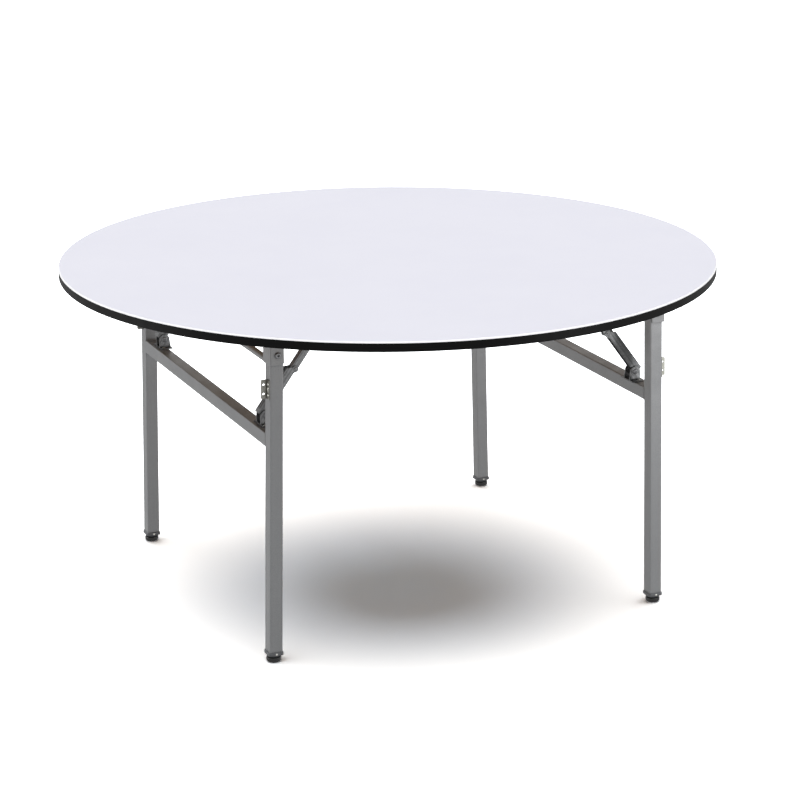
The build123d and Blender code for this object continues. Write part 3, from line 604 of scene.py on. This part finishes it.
def headed_pin(half_length, shank=4.0, head=6.0, height=1.8):
    """Pin headed at both ends: each head is a low rolled ring round a hole, mirrored about the
    middle."""
    ring = np.array((0.08, 0.27, 0.3, 0.36, 0.5, 0.7, 0.86, 0.95, 1.0, 0.98)) * head
    rise = np.array((0.25, 0.25, 0.8, 1.0, 1.0, 0.9, 0.66, 0.4, 0.15, 0.0)) * height
    high = np.concatenate((half_length + rise, (half_length,)))
    radius = np.concatenate((ring, (shank, shank), ring[::-1]))
    return turned(radius, np.concatenate((high, -high[::-1])), around=32)


def thread_radius(along, pitch, depth):
    """Radius of an 8 mm thread: it rises and falls once in every pitch."""
    return 3.72 + depth * np.cos(along / pitch * 2 * math.pi)


def pivot_bolt(length):
    """Button-head bolt: a low dome with a hexagonal socket, on a shank whose end carries a 1.25 mm
    thread."""
    pitch, threaded = 1.25, 11.6
    # Radius, height and how nearly each ring is a hexagon
    head = np.array((
        (0.3, 1.2, 1), (2.9, 1.2, 1), (3.0, 1.35, 1), (3.0, 3.45, 1), (3.35, 3.6, 0.2),
        (4.4, 3.58, 0), (5.4, 3.3, 0), (6.2, 2.7, 0), (6.75, 1.9, 0), (7.0, 1.0, 0), (7.0, 0.2, 0),
        (6.8, 0.0, 0), (4.0, 0.0, 0),
    ))
    turns = np.arange(0, 11.3, pitch / 4)
    radius = np.concatenate((head[:, 0], thread_radius(turns, pitch, 0.26), (3.3,)))
    rise = np.concatenate((head[:, 1], -(length - threaded) - turns, (-length,)))
    six = np.concatenate((head[:, 2], np.zeros(len(turns) + 1)))
    return turned(radius, rise, around=48, six=six)


def hexagon_nut(corner_radius, height, bore):
    """Hexagonal nut: its walls end where a cone at 30 degrees from each face cuts the six flats."""
    circle = corner_radius * 0.88
    lead = 0.45
    flare = bore + lead
    radius = (bore, flare, circle, corner_radius, corner_radius, circle, flare, bore)
    rise = (lead, 0.0, 0.0, 0.0, height, height, height, height - lead)
    six = (0, 0, 0, 1, 1, 0, 0, 0)

    def cone(r, z, angle):
        past = np.clip(r - circle, 0, None) * math.tan(math.radians(30))
        return np.where(z > height / 2, -past, past)

    return turned(radius, rise, around=48, six=six, lift=cone, wrap_rows=True)


def weld_line(start, stop, radius, ripple):
    """Straight bead: a tube on the corner line whose radius is rounded off at both ends and swells
    at every ripple."""
    start, stop = np.array(start, float), np.array(stop, float)
    length = np.linalg.norm(stop - start)
    along = np.linspace(0, 1, max(int(length / ripple * 6), 12))[:, None]
    shape = np.sqrt(np.clip(1 - np.abs(2 * along - 1) ** 7, 0.004, 1))
    swell = radius * shape * (1 + 0.11 * np.sin(along * length / ripple * 2 * math.pi))
    axes = axes_along(stop - start, (0.13, 0.97, 0.2))
    angle = np.linspace(0, 2 * math.pi, 14, endpoint=False)[None, :]
    centre = start + along * (stop - start)
    ring = np.cos(angle)[..., None] * axes[0] + np.sin(angle)[..., None] * axes[1]
    return closed_surface(centre[:, None, :] + swell[..., None] * ring)


def weld_ring(centre, axes, path_radius, radius, ripple):
    """Round bead: a tube carried round the rail's end, its radius swelling at every ripple."""
    count = int(2 * math.pi * path_radius / ripple)
    angle = np.linspace(0, 2 * math.pi, count * 6, endpoint=False)[:, None]
    swell = radius * (1 + 0.11 * np.sin(angle * count) + 0.06 * np.sin(angle * 3 + 1))
    turn = np.linspace(0, 2 * math.pi, 12, endpoint=False)[None, :]
    away = np.cos(angle)[..., None] * axes[0] + np.sin(angle)[..., None] * axes[1]
    reach = path_radius + swell * np.cos(turn)
    points = centre + reach[..., None] * away + (swell * np.sin(turn))[..., None] * axes[2]
    return closed_surface(points, wrap_rows=True)


def foot_collar():
    """Collar: a round tapering neck, then a square lip with rounded edges, then a plug; each ring
    is a rounded square of its own power, and a bore for the stud runs through."""
    # Radius, height and power of each ring
    rows = np.array((
        (4.1, 0.0, 2), (11.6, 0.0, 2), (12.3, 0.35, 2), (12.9, 1.6, 2), (13.6, 3.6, 2),
        (14.2, 4.3, 2.3), (16.2, 4.45, 7), (17.0, 4.8, 8), (17.35, 5.6, 8), (17.4, 7.0, 8),
        (17.4, 10.4, 8), (17.2, 11.4, 8), (16.6, 11.95, 8), (15.2, 12.0, 10), (13.4, 12.0, 14),
        (13.4, 30.5, 14), (12.6, 32.0, 12), (4.1, 32.0, 2),
    ))
    return turned(rows[:, 0], rows[:, 1], around=64, power=rows[:, 2], wrap_rows=True)


def glide_pad():
    """Glide: a low round pad, its top edge nearly square and its bottom edge well rounded, with a
    shallow dished top round the stud."""
    angle = np.linspace(0, math.pi / 2, 7)
    low_r, low_z = 11.6 + 4.6 * np.sin(angle), 4.6 - 4.6 * np.cos(angle)
    high_r, high_z = 14.4 + 1.8 * np.cos(angle), 9.7 + 1.8 * np.sin(angle)
    radius = np.concatenate(((0.6, 8.0), low_r, (16.3, 16.3), high_r, (12.0, 7.0, 6.6, 0.6)))
    rise = np.concatenate(((0.35, 0.0), low_z, (6.0, 8.6), high_z, (11.35, 11.25, 11.5, 11.5)))
    return turned(radius, rise, around=64)


def threaded_stud(low, high, pitch):
    """Threaded stud: a rod with a thread along its whole length and a chamfered top."""
    rise = np.arange(low, high, pitch / 4)
    radius = np.concatenate((thread_radius(rise, pitch, 0.27), (3.1,)))
    return turned(radius, np.concatenate((rise, (high,))), around=28)


# Settings that a user would change


def colour_setting(name, description, code):
    """A colour setting whose default is an sRGB hex colour."""
    return bpy.props.FloatVectorProperty(
        name=name, description=description, subtype="COLOR", min=0, max=1, default=linear(code)
    )


def length_setting(name, description, default, low, high):
    """A length setting, given in millimetres."""
    return bpy.props.FloatProperty(
        name=name, description=description, unit="LENGTH", default=default * MM, min=low * MM,
        max=high * MM,
    )


def number_setting(name, description, default, low, high):
    """A setting that is a plain number."""
    return bpy.props.FloatProperty(
        name=name, description=description, default=default, min=low, max=high
    )


class TableColours(bpy.types.PropertyGroup):
    """Colours of the table's finishes."""

    laminate: colour_setting("Laminate", "Face of the board", "#EAEAF4")
    laminate_shade: colour_setting("Laminate cloud", "Darker tone of the laminate", "#E5E5F0")
    # The rim's near pure white is partly the cut edge and partly a painted highlight
    laminate_rim: colour_setting("Laminate rim", "Bevelled edge of the laminate", "#FCFCFE")
    edge: colour_setting("Edge", "Black edge band", "#080808")
    edge_rubbed: colour_setting("Rubbed edge", "Scuffed parts of the edge band", "#161617")
    plywood: colour_setting("Plywood", "Early wood of the bottom veneer", "#C49A6C")
    plywood_ring: colour_setting("Plywood rings", "Late wood of the bottom veneer", "#A2764A")
    plywood_pore: colour_setting("Plywood pores", "Pores of the veneer", "#7E5833")
    paint: colour_setting("Frame paint", "Powder coat of the leg frames", "#9B9C9E")
    paint_shade: colour_setting("Frame paint cloud", "Darker tone of the powder coat", "#919395")
    # The fleck colour is also that of the paler corners, which are partly wear and partly a painted
    # highlight
    paint_fleck: colour_setting("Frame paint fleck", "Metallic fleck and worn corners", "#CBCCCD")
    sheet: colour_setting("Pressed sheet", "Zinc of the links and brackets", "#868788")
    sheet_shade: colour_setting("Sheet crystals", "Darker zinc crystals", "#747576")
    # Paler edges of the zinc: partly wear and partly a painted highlight
    sheet_bare: colour_setting("Rubbed zinc", "Zinc rubbed paler along its edges", "#9C9D9D")
    plate: colour_setting("Angle plate", "Passivated zinc of the angle plates", "#9B9B95")
    plate_shade: colour_setting("Angle plate tint", "Stronger straw tint", "#8B8B83")
    fastener: colour_setting("Fasteners", "Zinc plate of screws, rivets and studs", "#DCDCD6")
    fastener_shade: colour_setting("Fastener tone", "Duller zinc plate", "#C6C6BF")
    flake_coat: colour_setting("Zinc flake", "Dull coat of bolts, pins and knee rivets", "#8C8D8F")
    flake_coat_shade: colour_setting("Zinc flake tone", "Darker zinc flake", "#797A7C")
    collar: colour_setting("Collar", "Grey moulded foot collar", "#84868A")
    collar_shade: colour_setting("Collar cloud", "Darker tone of the collar", "#787A7E")
    glide: colour_setting("Glide", "Black foot glide", "#0A0A0B")
    glide_shade: colour_setting("Glide cloud", "Greyer tone of the glide", "#111113")
    spacer: colour_setting("Spacer", "Nylon washers at the hinges", "#E3E1D6")
    spacer_shade: colour_setting("Spacer cloud", "Yellower tone of the washers", "#D8D5C6")


class TableSizes(bpy.types.PropertyGroup):
    """Sizes of the formed and turned parts."""

    screw_head: length_setting("Screw head", "Diameter of the pan heads", 8, 5, 9)
    weld_radius: length_setting("Weld", "Radius of the weld beads", 2.1, 1, 4)
    weld_ripple: length_setting("Weld ripple", "Length of one ripple of a bead", 1.9, 1, 4)
    thread_pitch: length_setting("Stud thread", "Pitch of the glides' studs", 1.25, 0.8, 2)


class StageSettings(bpy.types.PropertyGroup):
    """Camera and light of the plain studio."""

    camera_place: bpy.props.FloatVectorProperty(
        name="Camera place", description="Where the camera stands", subtype="TRANSLATION",
        unit="LENGTH", default=(-2.1883, -5.0374, 2.0820),
    )
    camera_direction: bpy.props.FloatVectorProperty(
        name="Camera direction", description="Where the camera looks", subtype="DIRECTION",
        default=(0.39530, 0.87528, -0.27862),
    )
    camera_roll: bpy.props.FloatProperty(
        name="Camera roll", description="Turn of the picture about its middle", subtype="ANGLE",
        default=math.radians(-0.207),
    )
    focal_length: number_setting(
        "Focal length", "On a 36 mm wide sensor, in millimetres", 110.63, 20, 300
    )
    overhead: number_setting("Overhead light", "Strength of the wide overhead light", 2.6, 0, 10)
    ambient: number_setting("Room light", "Strength of the light from all round", 0.1, 0, 2)
    floor_lift: number_setting(
        "Floor lift", "How bright the floor is to the camera alone", 2.9, 0.5, 4
    )


# One operator for each piece or group of like pieces


class TABLE_OT_board(bpy.types.Operator):
    """Gives the board its white laminate face, black edge and bare plywood."""

    bl_idname = "table.board"
    bl_label = "Board"

    def execute(self, context):
        finish_nodes("satin_melamine_laminate", "table_top_laminate")
        finish_nodes("extruded_pvc_edge", "edge_band")
        finish_nodes("rotary_cut_plywood", "plywood_core", "bottom_veneer")
        return {"FINISHED"}


class TABLE_OT_leg_frames(bpy.types.Operator):
    """Gives the tubes and hinge brackets their silver grey powder coat."""

    bl_idname = "table.leg_frames"
    bl_label = "Leg frames"

    def execute(self, context):
        for name, _ in SIDES:
            finish_nodes("silver_powder_coat", "crossbar_" + name, "upper_rail_" + name)
        for corner, _, _ in CORNERS:
            finish_nodes("silver_powder_coat", "leg_" + corner, "hinge_bracket_" + corner)
        return {"FINISHED"}


class TABLE_OT_welds(bpy.types.Operator):
    """Makes the weld beads where the crossbars and upper rails meet the legs."""

    bl_idname = "table.welds"
    bl_label = "Welds"

    def execute(self, context):
        sizes = context.scene.table_sizes
        radius, ripple = sizes.weld_radius / MM, sizes.weld_ripple / MM
        for name, side in SIDES:
            beads = []
            axes = np.array((outward(side), up_leg(side), (0.0, 1.0, 0.0)))
            for corner, end in legs_of(side):
                face_y = leg_y(corner) - end * LEG_HALF
                for rise in (LEG_HALF - CROSSBAR_DROP, -LEG_HALF - CROSSBAR_DROP):
                    start = leg_point(side, face_y, -CORNER_WELD_HALF, rise)
                    stop = leg_point(side, face_y, CORNER_WELD_HALF, rise)
                    beads.append(weld_line(start, stop, radius, ripple))
                centre = leg_point(side, face_y, 0, -RAIL_DROP)
                beads.append(weld_ring(centre, axes, RAIL_RADIUS, radius * 0.8, ripple))
            make_piece(
                "weld_beads_" + name, join(*beads), name + "_frame",
                "silver_powder_coat", crease=75,
            )
        return {"FINISHED"}


class TABLE_OT_braces(bpy.types.Operator):
    """Gives the links, their brackets and the angle plates their zinc."""

    bl_idname = "table.braces"
    bl_label = "Braces and plates"

    def execute(self, context):
        for corner, _, _ in CORNERS:
            for kind in ("lower_link_", "upper_link_", "crossbar_bracket_", "top_bracket_"):
                finish_nodes("galvanised_pressed_sheet", kind + corner)
            finish_nodes("yellow_passivated_zinc", "angle_plate_" + corner)
        return {"FINISHED"}


class TABLE_OT_screws(bpy.types.Operator):
    """Makes the cross-recessed screws that hold the brackets to the board."""

    bl_idname = "table.screws"
    bl_label = "Screws"

    def execute(self, context):
        shape = screw(context.scene.table_sizes.screw_head)
        hinge_places, top_places = [], []
        seat = UNDERSIDE - SHEET
        for corner, side, end in CORNERS:
            hinge, top = "hinge_bracket_" + corner, "top_bracket_" + corner
            hinge_reach = half_width(hinge) - HINGE_SCREW_INSET
            top_reach = half_width(top) - TOP_SCREW_INSET
            for step in (-1, 1):
                for turn in (-1, 1):
                    # Each screw stopped at its own angle
                    angle = 0.9 * step + 1.7 * turn + 0.6 * side + 2.3 * end
                    axes = axes_along((0, 0, -1), (math.cos(angle), math.sin(angle), 0.0))
                    x = side * (HINGE_X + HINGE_FEET_OUT) + step * HINGE_SCREW_STEP
                    y = middle(hinge)[1] + turn * hinge_reach
                    hinge_places.append(((x, y, seat), axes))
                    x = middle(top)[0] + step * TOP_SCREW_STEP
                    y = middle(top)[1] + turn * top_reach
                    top_places.append(((x, y, seat), axes))
        make_fasteners(
            "hinge_bracket_screws", shape, hinge_places, "table_top", "bright_zinc_plate",
            ["hinge_screws"],
        )
        make_fasteners(
            "brace_bracket_screws", shape, top_places, "table_top", "bright_zinc_plate",
            ["top_bracket_screws"],
        )
        return {"FINISHED"}


class TABLE_OT_rivets(bpy.types.Operator):
    """Makes the rivets of the crossbar brackets, the angle plates and the knees, and the raised
    mark between an angle plate's rivets."""

    bl_idname = "table.rivets"
    bl_label = "Rivets"

    def execute(self, context):
        for name, side in SIDES:
            bracket_places, plate_places, mark_places, knee_places = [], [], [], []
            knee = middle("knee_rivets_" + name)
            out = axes_along(outward(side))
            # The mark is a small rivet head drawn out along the leg
            drawn_out = out * np.array(((0.8,), (1.9,), (0.8,)))
            for corner, end in legs_of(side):
                drop = HIGH_PLATE_DROP if side == end else LOW_PLATE_DROP
                plate_y = leg_y(corner) + end * PLATE_RIVET_OUT
                for turn in (-1, 1):
                    y = brace_y(corner) + turn * BRACKET_RIVET_STEP
                    rise = LEG_HALF - CROSSBAR_DROP + SHEET
                    seat = leg_point(side, y, -BRACKET_RIVET_IN, rise)
                    bracket_places.append((seat, axes_along(up_leg(side))))
                    rise = turn * PLATE_RIVET_STEP - drop
                    seat = leg_point(side, plate_y, LEG_HALF + PLATE_THICKNESS, rise)
                    plate_places.append((seat, out))
                    seat = (knee[0], brace_y(corner) + turn * KNEE_CHEEK, knee[2])
                    knee_places.append((seat, axes_across(turn)))
                seat = leg_point(side, plate_y, LEG_HALF + PLATE_THICKNESS, -drop)
                mark_places.append((seat, drawn_out))
            make_fasteners(
                "bracket_rivets_" + name, rivet(head=4.0, height=1.6, shank=2.4, tail=4.0),
                bracket_places, name + "_frame", "bright_zinc_plate", ["crossbar_rivets_" + name],
            )
            heads = copies(rivet(head=3.6, height=1.4, shank=2.0, tail=3.5), plate_places)
            marks = copies(rivet(head=3.6, height=1.4, shank=2.0, tail=1.0), mark_places)
            make_piece(
                "plate_rivets_" + name, join(heads, marks), name + "_frame",
                "bright_zinc_plate", ["angle_plate_rivets_" + name],
            )
            make_fasteners(
                "knee_rivet_heads_" + name, rivet(head=4.2, height=1.6, shank=2.5, tail=2.0),
                knee_places, name + "_lower_links", "grey_zinc_flake_coat",
                ["knee_rivets_" + name],
            )
        return {"FINISHED"}


class TABLE_OT_pins(bpy.types.Operator):
    """Makes the headed pins that the links turn on."""

    bl_idname = "table.pins"
    bl_label = "Brace pins"

    def execute(self, context):
        top_places = []
        for name, side in SIDES:
            places = []
            for corner, _ in legs_of(side):
                for held, pin in ((places, BRACE_PIN), (top_places, TOP_PIN)):
                    held.append(((side * pin[0], brace_y(corner), pin[2]), axes_across(BACK)))
            make_fasteners(
                "lower_link_pins_" + name, headed_pin(BRACE_PIN_HALF), places, name + "_frame",
                "grey_zinc_flake_coat", ["brace_pins_" + name],
            )
        make_fasteners(
            "upper_link_pins", headed_pin(TOP_PIN_HALF), top_places, "table_top",
            "grey_zinc_flake_coat", ["top_pins"],
        )
        return {"FINISHED"}


class TABLE_OT_pivots(bpy.types.Operator):
    """Makes the hinge bolts and nuts, and gives their spacers natural nylon."""

    bl_idname = "table.pivots"
    bl_label = "Hinge bolts"

    def execute(self, context):
        bolt_places, nut_places = [], []
        for corner, side, end in CORNERS:
            y = leg_y(corner)
            # Each bolt stopped at its own angle
            angle = 0.4 * side + end
            axes = axes_along((0, end, 0), (math.cos(angle), 0, math.sin(angle)))
            bolt_places.append(((side * HINGE_X, y + end * BRACKET_HALF, HINGE_Z), axes))
            seat = (side * HINGE_X, y - end * BRACKET_HALF, HINGE_Z)
            nut_places.append((seat, axes_across(-end)))
        make_fasteners(
            "hinge_bolts", pivot_bolt(2 * BRACKET_HALF + NUT_AND_TAIL), bolt_places, "table_top",
            "grey_zinc_flake_coat", ["pivot_bolts"],
        )
        make_fasteners(
            "hinge_nuts", hexagon_nut(corner_radius=7.4, height=5.0, bore=4.05), nut_places,
            "table_top", "grey_zinc_flake_coat", ["pivot_nuts"],
        )
        finish_nodes("natural_nylon", "hinge_spacers")
        return {"FINISHED"}


class TABLE_OT_feet(bpy.types.Operator):
    """Makes the foot collars with their pins, and the black glides on their threaded studs."""

    bl_idname = "table.feet"
    bl_label = "Feet"

    def execute(self, context):
        pitch = context.scene.table_sizes.thread_pitch / MM
        for name, side in SIDES:
            collar_places, pin_places, replaced = [], [], []
            lean = np.array((outward(side), np.cross(up_leg(side), outward(side)), up_leg(side)))
            for corner, _ in legs_of(side):
                y = leg_y(corner)
                collar_places.append((leg_point(side, y, 0, COLLAR_RISE - LEG_REACH), lean))
                replaced.append("foot_collar_" + corner)
                for turn in (-1, 1):
                    rise = COLLAR_PIN_RISE - LEG_REACH
                    seat = leg_point(side, y + turn * COLLAR_LIP_HALF, 0, rise)
                    pin_places.append((seat, axes_across(turn)))
                pad = copies(glide_pad(), [((side * FOOT_X, y, 0.0), np.eye(3))])
                stud = threaded_stud(STUD_LOW, STUD_HIGH, pitch)
                stud = copies(stud, [(leg_point(side, y, 0, -LEG_REACH), lean)])
                glide = make_piece(
                    "glide_" + corner, join(pad, stud), corner + "_glide",
                    "moulded_black_nylon", ["foot_glide_" + corner],
                )
                # The faces after the pad's are the stud's, which is zinc plated
                glide.data.materials.append(table_material("bright_zinc_plate"))
                index = np.zeros(len(glide.data.polygons), np.int32)
                index[len(pad[1]):] = 1
                glide.data.polygons.foreach_set("material_index", index)
            make_piece(
                "collars_" + name, copies(foot_collar(), collar_places), name + "_frame",
                "moulded_polypropylene", replaced,
            )
            make_fasteners(
                "collar_pins_" + name, rivet(head=2.3, height=0.9, shank=1.4, tail=2.5), pin_places,
                name + "_frame", "bright_zinc_plate",
            )
        return {"FINISHED"}


class TABLE_OT_stage(bpy.types.Operator):
    """Makes the pale floor, the soft lights and the camera."""

    bl_idname = "table.stage"
    bl_label = "Stage"

    def execute(self, context):
        settings = context.scene.table_stage
        floor = self.lay_floor(context, settings.floor_lift)
        self.light_room(context, settings, floor)
        self.set_camera(context, settings)
        return {"FINISHED"}

    def lay_floor(self, context, lift):
        """A flat disc facing up, its rings closer together towards the middle."""
        rings, around, inner, outer = 24, 64, 0.3, 60.0
        ring = np.geomspace(inner, outer, rings)[:, None]
        angle = np.linspace(0, 2 * math.pi, around, endpoint=False)[None, :]
        flat = (ring * np.cos(angle), ring * np.sin(angle), ring * np.zeros_like(angle))
        vertices = np.vstack((np.stack(flat, 2).reshape(-1, 3), (0.0, 0.0, 0.0)))
        faces = [face[::-1] for face in grid_faces(rings, around, False, True, False)]
        mesh = bpy.data.meshes.new("studio_floor")
        mesh.from_pydata(vertices.tolist(), [], faces)
        mesh.materials.append(self.floor_paper(lift))
        floor = bpy.data.objects.new("studio_floor", mesh)
        context.scene.collection.objects.link(floor)
        return floor

    def floor_paper(self, lift):
        """Seamless white paper: lifted towards the camera so that it is white where nothing shades
        it, white in reflections, and plain grey to the light that bounces off it. Its underside is
        clear to the camera, so that the table can be seen from below."""
        material = bpy.data.materials.new("white_background_paper")
        add = start_tree(material)
        # Bluer below the board, which takes the warm bounce of the plywood out of the shadow
        place = add("TexCoord").outputs["Object"]
        away = add("VectorMath", {0: place, 1: (-0.045, -0.1, 0.0)}, operation="DISTANCE")
        open_paper = add(
            "MapRange", {"Value": away, "From Max": 0.62}, interpolation_type="SMOOTHSTEP"
        )
        shaded = (0.83 * lift, 1.02 * lift, 1.23 * lift, 1)
        lit = (0.98 * lift, lift, 1.01 * lift, 1)
        tint = add("Mix", {MIX_SHARE: open_paper, MIX_A: shaded, MIX_B: lit}, data_type="RGBA")
        path = add("LightPath").outputs
        plain = add("BsdfDiffuse", {"Color": (0.3, 0.3, 0.3, 1)})
        mirrored = add("Emission", {"Strength": 0.7})
        lifted = add("BsdfDiffuse", {"Color": tint})
        below = add("NewGeometry").outputs["Backfacing"]
        seen = add("MixShader", {0: below, 1: lifted, 2: add("BsdfTransparent")})
        bounced = add("MixShader", {0: path["Is Glossy Ray"], 1: plain, 2: mirrored})
        paper = add("MixShader", {0: path["Is Camera Ray"], 1: bounced, 2: seen})
        add("OutputMaterial", {"Surface": paper})
        return material

    def light_room(self, context, settings, floor):
        """A wide overhead light from a little behind, soft panels round the table, of which two are
        for the laminate's rim, and an even room."""
        sun = bpy.data.lights.new("overhead_light", "SUN")
        sun.energy = settings.overhead
        sun.angle = math.radians(80)
        self.hang_light(context, sun, (0.0, 0.0, 0.0), Vector((-0.022, -0.107, -0.76)))
        # The floor gets no light from the panels, so that it keeps one plain shadow
        all_but_floor = bpy.data.collections.new("floor_without_panel_light")
        all_but_floor.objects.link(floor)
        all_but_floor.collection_objects[0].light_linking.link_state = "EXCLUDE"
        # The far panels reach the laminate alone, and whiten its bevelled rim
        laminate = bpy.data.collections.new("laminate_with_rim_light")
        laminate.objects.link(NODES["table_top_laminate"])
        target = Vector((0, 0, 0.45))
        # Each panel's place and diameter in metres, its watts and what it lights
        for name, place, power, size, lit in (
            ("left_panel", (-6.0, 1.5, 0.36), 66.0, 0.8, all_but_floor),
            ("front_right_panel", (1.9, -3.0, 0.4), 20.0, 0.7, all_but_floor),
            ("left_rim_panel", (-5.2, -2.6, 0.9), 90.0, 0.8, laminate),
            ("right_rim_panel", (1.6, -5.6, 0.9), 90.0, 0.8, laminate),
        ):
            light = bpy.data.lights.new(name, "AREA")
            light.shape = "DISK"
            light.size = size
            light.energy = power
            panel = self.hang_light(context, light, place, target - Vector(place))
            panel.visible_camera = False
            panel.light_linking.receiver_collection = lit
        self.fill_room(context, settings.ambient)
        context.scene.view_settings.view_transform = "Standard"

    def hang_light(self, context, light, place, direction):
        """A light's object, of the same name, which shines from a place in a direction."""
        lamp = bpy.data.objects.new(light.name, light)
        lamp.location = place
        lamp.rotation_mode = "QUATERNION"
        lamp.rotation_quaternion = direction.to_track_quat("-Z", "Y")
        context.scene.collection.objects.link(lamp)
        return lamp

    def fill_room(self, context, strength):
        """A room that is white to the camera and in reflections, and dim as a light."""
        world = bpy.data.worlds.new("studio_room")
        add = start_tree(world)
        path = add("LightPath").outputs
        ray = {0: path["Is Camera Ray"], 1: path["Is Glossy Ray"]}
        seen = add("Math", ray, operation="MAXIMUM")
        white = add("Background", {"Color": (1, 1, 1, 1)})
        room = add("Background", {"Color": (1, 1, 1, 1), "Strength": strength})
        add("OutputWorld", {"Surface": add("MixShader", {0: seen, 1: room, 2: white})})
        context.scene.world = world

    def set_camera(self, context, settings):
        """The camera looks down at the table from the front left, through a long lens."""
        data = bpy.data.cameras.new("studio_camera")
        data.sensor_width = 36
        data.lens = settings.focal_length
        data.shift_x = -0.0287
        data.shift_y = -0.0383
        data.clip_end = 200
        camera = bpy.data.objects.new("studio_camera", data)
        camera.location = settings.camera_place
        look = Vector(settings.camera_direction).to_track_quat("-Z", "Y").to_matrix()
        roll = Matrix.Rotation(settings.camera_roll, 3, "Z")
        camera.rotation_mode = "QUATERNION"
        camera.rotation_quaternion = (look @ roll).to_quaternion()
        context.scene.collection.objects.link(camera)
        context.scene.camera = camera


class TABLE_PT_panel(bpy.types.Panel):
    """Lists the table's pieces, colours, sizes and stage."""

    bl_idname = "TABLE_PT_panel"
    bl_label = "Round folding table"
    bl_space_type = "VIEW_3D"
    bl_region_type = "UI"
    bl_category = "Table"

    def draw(self, context):
        layout = self.layout
        for step in STEPS:
            layout.operator(step.bl_idname)
        scene = context.scene
        for group in (scene.table_colours, scene.table_sizes, scene.table_stage):
            box = layout.box()
            for key in group.bl_rna.properties.keys():
                if key not in ("rna_type", "name"):
                    box.prop(group, key)


STEPS = (
    TABLE_OT_board,
    TABLE_OT_leg_frames,
    TABLE_OT_welds,
    TABLE_OT_braces,
    TABLE_OT_screws,
    TABLE_OT_rivets,
    TABLE_OT_pins,
    TABLE_OT_pivots,
    TABLE_OT_feet,
    TABLE_OT_stage,
)
CLASSES = (TableColours, TableSizes, StageSettings) + STEPS + (TABLE_PT_panel,)


def register():
    """Adds the settings, the operators and the panel."""
    for made in CLASSES:
        bpy.utils.register_class(made)
    bpy.types.Scene.table_colours = bpy.props.PointerProperty(type=TableColours)
    bpy.types.Scene.table_sizes = bpy.props.PointerProperty(type=TableSizes)
    bpy.types.Scene.table_stage = bpy.props.PointerProperty(type=StageSettings)


def unregister():
    """Takes them away again."""
    del bpy.types.Scene.table_colours
    del bpy.types.Scene.table_sizes
    del bpy.types.Scene.table_stage
    for made in reversed(CLASSES):
        bpy.utils.unregister_class(made)


def main():
    """Builds every piece in order."""
    register()
    for step in STEPS:
        call = getattr(bpy.ops.table, step.bl_idname.split(".")[1])
        call()


if __name__ == "__main__":
    main()
